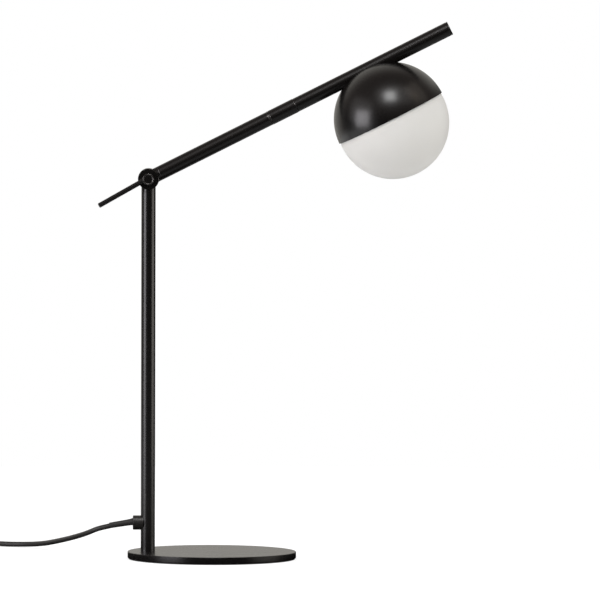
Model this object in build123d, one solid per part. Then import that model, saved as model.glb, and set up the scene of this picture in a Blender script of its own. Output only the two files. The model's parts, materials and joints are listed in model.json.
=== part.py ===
from build123d import *
from math import asin, ceil, cos, degrees, pi, radians, sin, sqrt, tan
import os

# Metal table lamp: a round base, a pole, a clamped tilting arm and an opal globe under a domed cap.
# Millimetres. Origin: centre of the base on the table. +Z is up, +X points to the lamp's head.

# Clearances
SEAT_GAP = 0.05  # round a fixed spigot, plug or pin in its hole
RUN_GAP = 0.05  # round a shaft that turns in its hole
FACE_GAP = 0.1  # between flat faces that turn on each other
SWING_GAP = 0.3  # between curved faces that swing past each other
LEAD_GAP = 0.3  # round an inner lead in its bore
FLOOR_GAP = 0.1  # under what lies loose on the table

# Base
BASE_DIAMETER = 150.0
BASE_THICKNESS = 5.7
BASE_EDGE_CHAMFER = 0.5
PAD_THICKNESS = 1.0
PAD_INSET = 1.0
POLE_SEAT_DEPTH = 1.2
BASE_SCREW_DIAMETER = 6.0
BASE_SCREW_LENGTH = 20.0
BASE_SCREW_HEAD = 11.4
BASE_SCREW_KEY = 4.0  # across the flats of the hexagon socket
POLE_FOOT_BELOW_GLAND = 2.0

# Tubes
TUBE_DIAMETER = 12.7
TUBE_WALL = 1.0
SPIGOT_LENGTH = 14.0
LEAD_DIAMETER = 2.8

# Pole and tilt joint
POLE_OFFSET = 57.0  # pole axis to the base's centre
PIVOT_HEIGHT = 338.2
KNUCKLE_DIAMETER = 18.8
KNUCKLE_CHAMFER = 0.5
KNUCKLE_NECK = 11.0  # pivot axis to the end of each tube
FRICTION_RING = 0.4
FRICTION_RING_WIDTH = 1.4
WIRE_CHAMBER_INNER = 9.2  # ring-shaped chamber that lets the lead follow the tilt
WIRE_CHAMBER_WIDTH = 1.4
WIRE_CHAMBER_DEPTH = 2.5

# Clamp lever
CLAMP_SCREW_DIAMETER = 6.0
CLAMP_HEAD_DIAMETER = 10.0
CLAMP_HEAD_HEIGHT = 6.6
CLAMP_HEAD_CHAMFER = 0.8
CLAMP_FACE_DIAMETER = 6.4  # shallow dish in the head's face
CLAMP_FACE_DEPTH = 0.3
LEVER_DIAMETER = 4.3
LEVER_REACH = 50.0
LEVER_DROP = 29.65  # degrees below level
LEVER_ROOT = 1.5  # screw axis to the rod's inner end
LEVER_TIP_CHAMFER = 0.8
CAP_NUT_DIAMETER = 10.0
CAP_NUT_HEIGHT = 3.0
CAP_NUT_FLOOR = 1.0
CAP_NUT_CHAMFER = 0.7

# Arm and swivel
ARM_TILT = 26.75  # degrees above level
ARM_REACH = 299.5  # pivot axis to the arm's tip
SWIVEL_REACH = 120.4  # pivot axis to the swivel's seam
SWIVEL_RING = 0.8
COLLAR_DIAMETER = 13.1
COLLAR_LENGTH = 25.0
COLLAR_SPIGOT = 10.0
SPINDLE_DIAMETER = 8.0
SPINDLE_BORE = 3.8
HEAD_TURN = 150.0  # degrees each way, set by the stop pin
STOP_PIN_DIAMETER = 1.9
STOP_PIN_REACH = 8.0  # seam to the pin
STOP_PIN_DEPTH = 0.9  # pin in the spindle's groove
STOP_PIN_PLAY = 2.0  # degrees
CLIP_THICKNESS = 0.8
CLIP_DEPTH = 0.55  # clip in its groove
CLIP_STANDS = 0.75  # clip outside the spindle
CLIP_MOUTH = 4.0
END_PLUG_FACE = 1.5
END_PLUG_CHAMFER = 0.4
END_PLUG_SPIGOT = 8.0

# Head
HEAD_REACH = 216.5  # pivot axis to the cap's axis, along the arm
GLOBE_DIAMETER = 100.0
GLOBE_WALL = 2.5
GLOBE_DROP = 4.7  # globe's centre below the cap's rim
RIM_RISE = 1.0  # cap's rim above the middle of the cap's ball
RIM_GAP = 0.33  # cap's rim round the globe
CAP_WALL = 0.8
ARM_SUNK = 2.0  # cap's crown above the arm's axis
SADDLE_DIAMETER = 14.8
SADDLE_DEPTH = 5.0  # arm tube's underside to the carrier
CARRIER_THICKNESS = 1.0
CARRIER_OVERLAP = 1.0  # carrier past the globe's rim
GASKET_THICKNESS = 0.8
GASKET_INSET = 0.4
NIPPLE_DIAMETER = 8.0
NIPPLE_BORE = 5.0
NIPPLE_IN_HOLDER = 3.0
NIPPLE_NUT_FLATS = 12.0
NIPPLE_NUT_HEIGHT = 3.0
ARM_OUTLET_DIAMETER = 5.0
CLIP_COUNT = 3
CLIP_SHEET = 0.6
CLIP_WIDTH = 7.0
CLIP_FOOT = 4.0
CLIP_LEG = 3.0
CLIP_PLAY = 0.4  # clip's free end to the glass
HOLDER_DIAMETER = 19.0
HOLDER_HEIGHT = 20.0
BULB_PIN_SPACING = 9.0
BULB_PIN_DIAMETER = 1.5
BULB_PIN_LENGTH = 9.0
CONTACT_WALL = 0.5
BULB_BASE_DIAMETER = 13.0
BULB_BASE_LENGTH = 9.0
BULB_DIAMETER = 15.0
BULB_LENGTH = 34.0
BULB_TIP_CHAMFER = 3.0

# Cord outlet
CORD_DIAMETER = 4.6
GLAND_HEIGHT = 32.1
GLAND_DIAMETER = 12.8
GLAND_REACH = 13.35  # pole axis to the gland's face
GLAND_EAR = 3.9  # pole axis to the ends of the gland's saddle
GLAND_CHAMFER = 0.5
GLAND_NECK_DIAMETER = 5.8
GLAND_NECK_INSIDE = 0.8  # neck past the pole's inner wall
GLAND_MOUTH_RISE = 0.7  # mouth above the gland's axis
POCKET_DEPTH = 3.0
RELIEF_DIP = 9.3  # degrees below level
RELIEF_COLLAR = 6.6
RELIEF_ROOT = 6.0
RELIEF_TIP = 5.1
RELIEF_LENGTH = 21.0
CORD_PLAY = 0.1  # sleeve's bore round the cord

# Inline switch, at the cord's height above the table
SWITCH_X = -270.0
SWITCH_Y = 139.0
SWITCH_LENGTH = 64.0
SWITCH_WIDTH = 26.0
SWITCH_HEIGHT = 16.0
SWITCH_CHAMFER = 2.5
SWITCH_SOCKET = 6.0  # cord in the housing, at each end
SWITCH_SCREW_SPACING = 44.0
SWITCH_SCREW_DIAMETER = 3.0
SWITCH_SCREW_HEAD = 5.4
SWITCH_SCREW_SUNK = 2.0
SWITCH_SCREW_BITE = 4.0  # screw in the cover
ROCKER_LENGTH = 18.0
ROCKER_WIDTH = 11.0
ROCKER_BELOW = 2.0  # rocker's underside below its pivot
ROCKER_DISH = 1.0  # ends of the rocker above its middle
ROCKER_RISE = 4.6  # housing's top above the rocker's pivot
ROCKER_TILT = 6.0  # degrees each way
ROCKER_PLAY = 0.4
ROCKER_STUD_DIAMETER = 3.0
ROCKER_STUD_LENGTH = 2.5

# Plug
PLUG_Y = 0.25  # face that carries the pins
PLUG_WIDTH = 35.3
PLUG_THICKNESS = 13.7
PLUG_LENGTH = 37.0
PLUG_REAR_WIDTH = 16.0
PLUG_REAR_THICKNESS = 11.0
PLUG_CORNER = 5.0
PLUG_RELIEF_ROOT = 9.0
PLUG_RELIEF_TIP = 6.0
PLUG_RELIEF_LENGTH = 22.0
PLUG_SOCKET = 4.0  # cord in the relief's tip
PLUG_PIN_SPACING = 18.6
PLUG_PIN_DIAMETER = 4.0
PLUG_PIN_LENGTH = 19.0
PLUG_PIN_ROOT = 8.0
PLUG_PIN_TIP_CHAMFER = 0.8
PIN_SLEEVE_LENGTH = 10.0
PIN_SLEEVE_WALL = 0.4

# Coil of the put-away cord and its tie
COIL_X = -352.0
COIL_OUTER_RADIUS = 28.75  # middle of the cord in the outermost turn
COIL_TURNS = 9.25
COIL_LAYERS = 4
COIL_PITCH = 5.0
COIL_SIDES = 6
COIL_SPANS = 10  # biarcs in each layer, a quarter turn or less
TIE_THICKNESS = 0.6
TIE_WIDTH = 6.0
TIE_GAP = 0.45
TIE_CORNER = 2.0

# Cord route from the gland to the switch, the switch to the coil and the coil to the plug
CORD_FRONT_ROUTE = [
    (-67.39, 0.0, 33.28),
    (-97.98, 0.0, 28.28),
    (-111.0, 9.0, 21.9),
    (-122.0, 29.0, 17.1),
    (-132.0, 54.0, 12.8),
    (-142.0, 81.0, 8.7),
    (-153.0, 107.0, 4.9),
    (-169.0, 126.0, 2.8),
    (-193.0, 135.5, 2.45),
    (-211.0, 138.2, 4.8),
    (-228.0, 139.0, 8.1),
    (-244.0, 139.0, 8.1),
]
CORD_LINK_ROUTE = [
    (-296.0, 139.0, 8.1),
    (-312.0, 139.0, 8.1),
    (-334.0, 139.0, 3.45),
    (-347.4, 139.0, 3.45),
]
CORD_TAIL_ROUTE = [
    (-380.75, 105.65, 18.45),
    (-380.75, 90.25, 18.45),
    (-380.75, 70.25, 6.95),
    (-380.75, 55.25, 6.95),
]
ARC_SHARE = 0.45  # of the shorter run, taken by each bend

# Sizes worked out from those above
TUBE_RADIUS = TUBE_DIAMETER / 2
TUBE_BORE = TUBE_RADIUS - TUBE_WALL
SPIGOT_RADIUS = TUBE_BORE - SEAT_GAP
LEAD_RADIUS = LEAD_DIAMETER / 2
LEAD_BORE = LEAD_RADIUS + LEAD_GAP
BASE_TOP = PAD_THICKNESS + BASE_THICKNESS
POLE_BOTTOM = BASE_TOP - POLE_SEAT_DEPTH
POLE_FOOT_TOP = GLAND_HEIGHT - GLAND_NECK_DIAMETER / 2 - POLE_FOOT_BELOW_GLAND
POLE_X = -POLE_OFFSET
KNUCKLE_RADIUS = KNUCKLE_DIAMETER / 2
LAP_GAP = FRICTION_RING / 2 + FACE_GAP / 2  # pivot's middle plane to each half's face
SCREW_RADIUS = CLAMP_SCREW_DIAMETER / 2
SCREW_HOLE = SCREW_RADIUS + RUN_GAP
CLAMP_HEAD_BACK = -TUBE_RADIUS - FACE_GAP
CLAMP_HEAD_FRONT = CLAMP_HEAD_BACK - CLAMP_HEAD_HEIGHT
COLLAR_START = SWIVEL_REACH + SWIVEL_RING + FACE_GAP
COLLAR_END = COLLAR_START + COLLAR_LENGTH
SPINDLE_RADIUS = SPINDLE_DIAMETER / 2
SPINDLE_HOLE = SPINDLE_RADIUS + RUN_GAP
CLIP_START = COLLAR_END + COLLAR_SPIGOT + FACE_GAP
SPINDLE_END = CLIP_START + 2 * CLIP_THICKNESS
STOP_X = COLLAR_START + STOP_PIN_REACH
LEAD_SPLIT = (SWIVEL_REACH + SPINDLE_END) / 2
TUBE_END = ARM_REACH - END_PLUG_FACE
GLOBE_RADIUS = GLOBE_DIAMETER / 2
GLOBE_INNER = GLOBE_RADIUS - GLOBE_WALL
RIM_INNER = sqrt(GLOBE_RADIUS**2 - GLOBE_DROP**2) + RIM_GAP
CAP_INNER = sqrt(RIM_INNER**2 + RIM_RISE**2)
CAP_OUTER = CAP_INNER + CAP_WALL
CAP_Z = ARM_SUNK - CAP_OUTER  # middle of the cap's ball, from the arm's axis
GLOBE_Z = CAP_Z + RIM_RISE - GLOBE_DROP
CARRIER_TOP = -TUBE_RADIUS - SADDLE_DEPTH
CARRIER_BOTTOM = CARRIER_TOP - CARRIER_THICKNESS
GLASS_TOP = CARRIER_BOTTOM - GASKET_THICKNESS
MOUTH_OUTER = sqrt(GLOBE_RADIUS**2 - (GLASS_TOP - GLOBE_Z) ** 2)
MOUTH_INNER = sqrt(GLOBE_INNER**2 - (GLASS_TOP - GLOBE_Z) ** 2)
HOLDER_TOP = CARRIER_BOTTOM - NIPPLE_NUT_HEIGHT
HOLDER_BOTTOM = HOLDER_TOP - HOLDER_HEIGHT
CORD_RADIUS = CORD_DIAMETER / 2
GLAND_X = POLE_X - GLAND_REACH
RELIEF = Location((GLAND_X, 0, GLAND_HEIGHT + GLAND_MOUTH_RISE), (0, -90 - RELIEF_DIP, 0))
PIVOT = Location((POLE_X, 0, PIVOT_HEIGHT))
ARM = PIVOT * Rotation(0, -ARM_TILT, 0)
LEVER = PIVOT * Rotation(0, -LEVER_DROP, 0)
SWITCH_SPLIT = FLOOR_GAP + SWITCH_HEIGHT / 2
SWITCH = Location((SWITCH_X, SWITCH_Y, SWITCH_SPLIT))
ROCKER_PIVOT = SWITCH_HEIGHT / 2 - ROCKER_RISE
PLUG = Location((COIL_X - COIL_OUTER_RADIUS, PLUG_Y, FLOOR_GAP + PLUG_THICKNESS / 2), (0, 0, -90))
COIL_LOW = FLOOR_GAP + TIE_THICKNESS + TIE_GAP + CORD_RADIUS
COIL_INNER_RADIUS = COIL_OUTER_RADIUS - COIL_PITCH * COIL_TURNS / COIL_LAYERS
COIL_Y = SWITCH_Y - COIL_OUTER_RADIUS


def rod_z(radius, low, high, x=0.0, y=0.0):
    """Upright round bar between two heights."""
    return Pos(x, y, (low + high) / 2) * Cylinder(radius, high - low)


def rod_x(radius, low, high, y=0.0, z=0.0):
    """Round bar along X."""
    return Pos((low + high) / 2, y, z) * Rotation(0, 90, 0) * Cylinder(radius, high - low)


def rod_y(radius, low, high, x=0.0, z=0.0):
    """Round bar along Y."""
    return Pos(x, (low + high) / 2, z) * Rotation(90, 0, 0) * Cylinder(radius, high - low)


def pipe_x(outer, inner, low, high):
    """Round tube along X."""
    return rod_x(outer, low, high) - rod_x(inner, low, high)


def block(x, y, z):
    """Box between two values on each axis."""
    size = [span[1] - span[0] for span in (x, y, z)]
    centre = [(span[0] + span[1]) / 2 for span in (x, y, z)]
    return Pos(*centre) * Box(*size)


def turned(*profile):
    """Solid of revolution about Z from (radius, height) corners."""
    outline = Polyline(*[(radius, 0, height) for radius, height in profile], close=True)
    return revolve(make_face(outline), Axis.Z)


def base_plate():
    plate = rod_z(BASE_DIAMETER / 2, PAD_THICKNESS, BASE_TOP)
    plate = chamfer(plate.edges().filter_by(GeomType.CIRCLE), BASE_EDGE_CHAMFER)
    seat = rod_z(TUBE_RADIUS + SEAT_GAP, POLE_BOTTOM, BASE_TOP, POLE_X)
    hole = rod_z(BASE_SCREW_DIAMETER / 2 + SEAT_GAP, PAD_THICKNESS, BASE_TOP, POLE_X)
    return plate - seat - hole - Pos(POLE_X, 0, 0) * screw_cone(SEAT_GAP)


def base_pad():
    return rod_z(BASE_DIAMETER / 2 - PAD_INSET, 0, PAD_THICKNESS)


def screw_cone(gap):
    """Countersunk head, flush with the plate's underside."""
    wide = BASE_SCREW_HEAD / 2 + gap
    narrow = BASE_SCREW_DIAMETER / 2 + gap
    return turned((0, PAD_THICKNESS), (wide, PAD_THICKNESS), (narrow, PAD_THICKNESS + wide - narrow),
                  (0, PAD_THICKNESS + wide - narrow))


def base_screw():
    shank = rod_z(BASE_SCREW_DIAMETER / 2, PAD_THICKNESS, PAD_THICKNESS + BASE_SCREW_LENGTH)
    socket = extrude(RegularPolygon(BASE_SCREW_KEY / 2, 6, major_radius=False), BASE_SCREW_KEY / 2)
    return Pos(POLE_X, 0, 0) * (shank + screw_cone(0) - Pos(0, 0, PAD_THICKNESS) * socket)


def pole_foot():
    plug = rod_z(SPIGOT_RADIUS, POLE_BOTTOM, POLE_FOOT_TOP, POLE_X)
    return plug - rod_z(BASE_SCREW_DIAMETER / 2 + SEAT_GAP, POLE_BOTTOM,
                        PAD_THICKNESS + BASE_SCREW_LENGTH + SEAT_GAP, POLE_X)


def pole_tube():
    top = PIVOT_HEIGHT - KNUCKLE_NECK
    tube = rod_z(TUBE_RADIUS, POLE_BOTTOM, top, POLE_X) - rod_z(TUBE_BORE, POLE_BOTTOM, top, POLE_X)
    return tube - rod_x(GLAND_NECK_DIAMETER / 2 + SEAT_GAP, GLAND_X, POLE_X, z=GLAND_HEIGHT)


def wire_chamber(near, far):
    """Ring-shaped space round the pivot for the lead's slack."""
    inner = WIRE_CHAMBER_INNER / 2
    return rod_y(inner + 2 * WIRE_CHAMBER_WIDTH, near, far) - rod_y(inner, near, far)


def knuckle(side):
    """One half of the lap joint, with its neck along +X. side is -1 for the front half, 1 for the rear."""
    face, back = sorted((side * LAP_GAP, side * TUBE_RADIUS))
    other, clear = sorted((side * LAP_GAP, -side * 2 * TUBE_RADIUS))
    floor, mouth = sorted((side * LAP_GAP, side * (LAP_GAP + WIRE_CHAMBER_DEPTH)))
    half = rod_y(KNUCKLE_RADIUS, face, back)
    outer_rim = half.edges().filter_by(GeomType.CIRCLE).group_by(Axis.Y)[0 if side < 0 else -1]
    half = chamfer(outer_rim, KNUCKLE_CHAMFER)
    neck = rod_x(TUBE_RADIUS, 0, KNUCKLE_NECK) + rod_x(SPIGOT_RADIUS, 0, KNUCKLE_NECK + SPIGOT_LENGTH)
    neck -= rod_y(KNUCKLE_RADIUS + SWING_GAP, other, clear)
    half += neck
    half -= rod_y(SCREW_HOLE, face, back)
    half -= wire_chamber(floor, mouth)
    return half - rod_x(LEAD_BORE, WIRE_CHAMBER_INNER / 2, KNUCKLE_NECK + SPIGOT_LENGTH)


def pole_knuckle():
    return PIVOT * Rotation(0, 90, 0) * knuckle(-1)


def arm_knuckle():
    return ARM * knuckle(1)


def friction_washer():
    half = FRICTION_RING / 2
    return ARM * (rod_y(KNUCKLE_RADIUS, -half, LAP_GAP) - rod_y(KNUCKLE_RADIUS - FRICTION_RING_WIDTH, -half, LAP_GAP))


def pivot_nut():
    nut = rod_y(CAP_NUT_DIAMETER / 2, TUBE_RADIUS, TUBE_RADIUS + CAP_NUT_HEIGHT)
    nut = chamfer(nut.edges().filter_by(GeomType.CIRCLE).group_by(Axis.Y)[-1], CAP_NUT_CHAMFER)
    return ARM * (nut - rod_y(SCREW_HOLE, TUBE_RADIUS, TUBE_RADIUS + CAP_NUT_HEIGHT - CAP_NUT_FLOOR))


def lever_axis_y():
    return (CLAMP_HEAD_BACK + CLAMP_HEAD_FRONT) / 2


def lever_boss():
    head = rod_y(CLAMP_HEAD_DIAMETER / 2, CLAMP_HEAD_FRONT, CLAMP_HEAD_BACK)
    head = chamfer(head.edges().filter_by(GeomType.CIRCLE).group_by(Axis.Y)[0], CLAMP_HEAD_CHAMFER)
    head -= rod_y(CLAMP_FACE_DIAMETER / 2, CLAMP_HEAD_FRONT, CLAMP_HEAD_FRONT + CLAMP_FACE_DEPTH)
    shank_end = TUBE_RADIUS + CAP_NUT_HEIGHT - CAP_NUT_FLOOR - FACE_GAP
    shank = rod_y(SCREW_RADIUS, CLAMP_HEAD_BACK, shank_end)
    hole = rod_x(LEVER_DIAMETER / 2 + SEAT_GAP, -CLAMP_HEAD_DIAMETER, -LEVER_ROOT, y=lever_axis_y())
    return LEVER * (head + shank - hole)


def lever_rod():
    rod = rod_x(LEVER_DIAMETER / 2, -LEVER_REACH, -LEVER_ROOT, y=lever_axis_y())
    return LEVER * chamfer(rod.edges().filter_by(GeomType.CIRCLE).group_by(Axis.X)[0], LEVER_TIP_CHAMFER)


def arm_tube_inner():
    return ARM * pipe_x(TUBE_RADIUS, TUBE_BORE, KNUCKLE_NECK, SWIVEL_REACH)


def swivel_spindle():
    spindle = rod_x(SPIGOT_RADIUS, SWIVEL_REACH - SPIGOT_LENGTH, SWIVEL_REACH)
    spindle += rod_x(SPINDLE_RADIUS, SWIVEL_REACH, SPINDLE_END)
    spindle -= rod_x(SPINDLE_BORE / 2, SWIVEL_REACH - SPIGOT_LENGTH, SPINDLE_END)
    spindle -= pipe_x(SPINDLE_RADIUS, SPINDLE_RADIUS - CLIP_DEPTH, CLIP_START, CLIP_START + CLIP_THICKNESS)
    return ARM * (spindle - stop_groove())


def stop_groove():
    """Groove round the spindle, closed where the stop pin ends its travel."""
    floor = SPINDLE_RADIUS - STOP_PIN_DEPTH - RUN_GAP
    half = STOP_PIN_DIAMETER / 2 + RUN_GAP
    sweep_angle = HEAD_TURN + degrees(asin(half / floor)) + STOP_PIN_PLAY
    profile = Polyline((STOP_X - half, 0, -floor), (STOP_X + half, 0, -floor),
                       (STOP_X + half, 0, -SPINDLE_RADIUS), (STOP_X - half, 0, -SPINDLE_RADIUS), close=True)
    start = Rotation(-sweep_angle, 0, 0) * make_face(profile)
    return revolve(start, Axis.X, 2 * sweep_angle)


def swivel_washer():
    return ARM * pipe_x(COLLAR_DIAMETER / 2, SPINDLE_RADIUS + SEAT_GAP, SWIVEL_REACH, SWIVEL_REACH + SWIVEL_RING)


def spindle_clip():
    ring = pipe_x(SPINDLE_RADIUS + CLIP_STANDS, SPINDLE_RADIUS - CLIP_DEPTH, CLIP_START, CLIP_START + CLIP_THICKNESS)
    mouth = block((CLIP_START, CLIP_START + CLIP_THICKNESS), (-CLIP_MOUTH / 2, CLIP_MOUTH / 2),
                  (0, SPINDLE_DIAMETER))
    return ARM * (ring - mouth)


def swivel_collar():
    collar = rod_x(COLLAR_DIAMETER / 2, COLLAR_START, COLLAR_END)
    collar += rod_x(SPIGOT_RADIUS, COLLAR_END, COLLAR_END + COLLAR_SPIGOT)
    collar -= rod_x(SPINDLE_HOLE, COLLAR_START, COLLAR_END + COLLAR_SPIGOT)
    return ARM * (collar - rod_z(STOP_PIN_DIAMETER / 2 + SEAT_GAP, -COLLAR_DIAMETER, 0, STOP_X))


def stop_pin():
    outer = COLLAR_DIAMETER / 2 - SEAT_GAP - STOP_PIN_DIAMETER**2 / COLLAR_DIAMETER / 4
    return ARM * rod_z(STOP_PIN_DIAMETER / 2, -outer, STOP_PIN_DEPTH - SPINDLE_RADIUS, STOP_X)


def arm_tube_outer():
    tube = pipe_x(TUBE_RADIUS, TUBE_BORE, COLLAR_END, TUBE_END)
    return ARM * (tube - rod_z(ARM_OUTLET_DIAMETER / 2, -TUBE_DIAMETER, 0, HEAD_REACH))


def arm_end_plug():
    face = rod_x(TUBE_RADIUS, TUBE_END, ARM_REACH)
    face = chamfer(face.edges().filter_by(GeomType.CIRCLE).group_by(Axis.X)[-1], END_PLUG_CHAMFER)
    return ARM * (face + rod_x(SPIGOT_RADIUS, TUBE_END - END_PLUG_SPIGOT, TUBE_END))


def on_head(shape):
    """Places what is drawn about the cap's axis, with heights from the arm's axis."""
    return ARM * Pos(HEAD_REACH, 0, 0) * shape


def shade_cap():
    shell = Sphere(CAP_OUTER) - Sphere(CAP_INNER)
    cap = Pos(0, 0, CAP_Z) * split(shell, bisect_by=Plane.XY.offset(RIM_RISE), keep=Keep.TOP)
    return on_head(cap - rod_x(TUBE_RADIUS + FACE_GAP, -CAP_OUTER, CAP_OUTER))


def saddle_boss():
    boss = rod_z(SADDLE_DIAMETER / 2, CARRIER_TOP, -TUBE_RADIUS / 2)
    boss -= rod_x(TUBE_RADIUS + SEAT_GAP, -SADDLE_DIAMETER, SADDLE_DIAMETER)
    return on_head(boss - rod_z(NIPPLE_DIAMETER / 2 + SEAT_GAP, CARRIER_TOP, 0))


def holder_nipple():
    top = -TUBE_RADIUS - SEAT_GAP
    low = HOLDER_TOP - NIPPLE_IN_HOLDER
    return on_head(rod_z(NIPPLE_DIAMETER / 2, low, top) - rod_z(NIPPLE_BORE / 2, low, top))


def nipple_nut():
    nut = extrude(RegularPolygon(NIPPLE_NUT_FLATS / 2, 6, major_radius=False), NIPPLE_NUT_HEIGHT)
    nut = Pos(0, 0, HOLDER_TOP) * nut
    return on_head(nut - rod_z(NIPPLE_DIAMETER / 2 + SEAT_GAP, HOLDER_TOP, CARRIER_BOTTOM))


def globe_carrier():
    disc = rod_z(MOUTH_OUTER + CARRIER_OVERLAP, CARRIER_BOTTOM, CARRIER_TOP)
    return on_head(disc - rod_z(NIPPLE_DIAMETER / 2 + SEAT_GAP, CARRIER_BOTTOM, CARRIER_TOP))


def globe_gasket():
    ring = rod_z(MOUTH_OUTER - GASKET_INSET, GLASS_TOP, CARRIER_BOTTOM)
    return on_head(ring - rod_z(MOUTH_INNER + GASKET_INSET, GLASS_TOP, CARRIER_BOTTOM))


def globe_clips():
    """Leaf springs that hook under the globe's rim from inside."""
    leg = MOUTH_INNER - CLIP_PLAY
    knee = GLASS_TOP - CLIP_LEG
    reach = sqrt((GLOBE_INNER - CLIP_PLAY - CLIP_SHEET) ** 2 - (knee - CLIP_SHEET - GLOBE_Z) ** 2)
    outline = Polyline(
        (leg - CLIP_FOOT, 0, CARRIER_BOTTOM), (leg, 0, CARRIER_BOTTOM), (leg, 0, knee),
        (reach, 0, knee - CLIP_SHEET), (reach, 0, knee - 2 * CLIP_SHEET),
        (leg - CLIP_SHEET, 0, knee - CLIP_SHEET), (leg - CLIP_SHEET, 0, CARRIER_BOTTOM - CLIP_SHEET),
        (leg - CLIP_FOOT, 0, CARRIER_BOTTOM - CLIP_SHEET), close=True)
    clip = extrude(make_face(outline), CLIP_WIDTH / 2, both=True)
    return on_head(Compound(children=[Rotation(0, 0, 360 / CLIP_COUNT * i) * clip for i in range(CLIP_COUNT)]))


def opal_globe():
    ball = Pos(0, 0, GLOBE_Z) * (Sphere(GLOBE_RADIUS) - Sphere(GLOBE_INNER))
    return on_head(split(ball, bisect_by=Plane.XY.offset(GLASS_TOP), keep=Keep.BOTTOM))


def bulb_pin_places():
    return [(side * BULB_PIN_SPACING / 2, 0) for side in (-1, 1)]


def lampholder():
    body = rod_z(HOLDER_DIAMETER / 2, HOLDER_BOTTOM, HOLDER_TOP)
    body -= rod_z(NIPPLE_DIAMETER / 2 + SEAT_GAP, HOLDER_TOP - NIPPLE_IN_HOLDER, HOLDER_TOP)
    for x, y in bulb_pin_places():
        body -= rod_z(contact_radius() + SEAT_GAP, HOLDER_BOTTOM, HOLDER_BOTTOM + BULB_PIN_LENGTH, x, y)
    return on_head(body)


def contact_radius():
    return BULB_PIN_DIAMETER / 2 + SEAT_GAP + CONTACT_WALL


def holder_contacts():
    top = HOLDER_BOTTOM + BULB_PIN_LENGTH
    tubes = [rod_z(contact_radius(), HOLDER_BOTTOM, top, x, y)
             - rod_z(BULB_PIN_DIAMETER / 2 + SEAT_GAP, HOLDER_BOTTOM, top, x, y) for x, y in bulb_pin_places()]
    return on_head(Compound(children=tubes))


def bulb_pins():
    low = HOLDER_BOTTOM - BULB_BASE_LENGTH / 2
    top = HOLDER_BOTTOM + BULB_PIN_LENGTH - SEAT_GAP
    return on_head(Compound(children=[rod_z(BULB_PIN_DIAMETER / 2, low, top, x, y) for x, y in bulb_pin_places()]))


def bulb_base():
    body = rod_z(BULB_BASE_DIAMETER / 2, HOLDER_BOTTOM - BULB_BASE_LENGTH, HOLDER_BOTTOM - SEAT_GAP)
    for x, y in bulb_pin_places():
        body -= rod_z(BULB_PIN_DIAMETER / 2 + SEAT_GAP, HOLDER_BOTTOM - BULB_BASE_LENGTH / 2, HOLDER_BOTTOM, x, y)
    return on_head(body)


def bulb_envelope():
    top = HOLDER_BOTTOM - BULB_BASE_LENGTH
    envelope = rod_z(BULB_DIAMETER / 2, top - BULB_LENGTH, top)
    return on_head(chamfer(envelope.edges().filter_by(GeomType.CIRCLE).group_by(Axis.Z)[0], BULB_TIP_CHAMFER))


def lead(*points, radius=LEAD_RADIUS, bend=0.0):
    """Inner lead along straight runs, with one bend size."""
    path = FilletPolyline(*points, radius=bend) if bend else Polyline(*points)
    return sweep(path.location_at(0) * Circle(radius), path)


def pole_lead():
    start = (GLAND_X + POCKET_DEPTH + RELIEF_COLLAR / 2 * sin(radians(RELIEF_DIP)) + FACE_GAP, 0, GLAND_HEIGHT)
    return lead(start, (POLE_X, 0, GLAND_HEIGHT), (POLE_X, 0, PIVOT_HEIGHT - KNUCKLE_NECK), bend=TUBE_BORE - TUBE_WALL)


def arm_lead():
    return ARM * rod_x(LEAD_RADIUS, KNUCKLE_NECK, LEAD_SPLIT - FACE_GAP)


def head_lead():
    low = HOLDER_TOP - NIPPLE_IN_HOLDER + FACE_GAP
    return ARM * lead((LEAD_SPLIT + FACE_GAP, 0, 0), (HEAD_REACH, 0, 0), (HEAD_REACH, 0, low), bend=TUBE_BORE - TUBE_WALL)


def cord_gland():
    body = rod_x(GLAND_DIAMETER / 2, GLAND_X, POLE_X - GLAND_EAR, z=GLAND_HEIGHT)
    body = chamfer(body.edges().filter_by(GeomType.CIRCLE).group_by(Axis.X)[0], GLAND_CHAMFER)
    body -= rod_z(TUBE_RADIUS + SEAT_GAP, 0, PIVOT_HEIGHT, POLE_X)
    neck_end = POLE_X - TUBE_BORE + GLAND_NECK_INSIDE
    body += rod_x(GLAND_NECK_DIAMETER / 2, POLE_X - GLAND_REACH / 2, neck_end, z=GLAND_HEIGHT)
    body -= RELIEF * rod_z(RELIEF_COLLAR / 2 + SEAT_GAP, -POCKET_DEPTH, POCKET_DEPTH)
    return body - rod_x(LEAD_BORE, GLAND_X + POCKET_DEPTH / 2, neck_end, z=GLAND_HEIGHT)


def strain_relief():
    bore = CORD_RADIUS + CORD_PLAY
    return RELIEF * turned((bore, -POCKET_DEPTH), (RELIEF_COLLAR / 2, -POCKET_DEPTH), (RELIEF_COLLAR / 2, 0),
                           (RELIEF_ROOT / 2, 0), (RELIEF_TIP / 2, RELIEF_LENGTH), (bore, RELIEF_LENGTH))


def cord_stretch(name, route):
    """Cord tube on straight runs joined by tangent arcs as large as the runs allow."""
    points = [Vector(*point) for point in route]
    runs = [after - before for before, after in zip(points, points[1:])]
    radii = [ARC_SHARE * min(before.length, after.length) / tan(radians(before.get_angle(after)) / 2)
             for before, after in zip(runs, runs[1:])]
    path = FilletPolyline(*points, radius=radii)
    tube = sweep(path.location_at(0) * Circle(CORD_RADIUS), path)
    print(name, "radii", [round(radius) for radius in radii], "length", round(path.length, 1),
          "volume share", round(tube.volume / (pi * CORD_RADIUS**2 * path.length), 4))
    return tube


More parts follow.
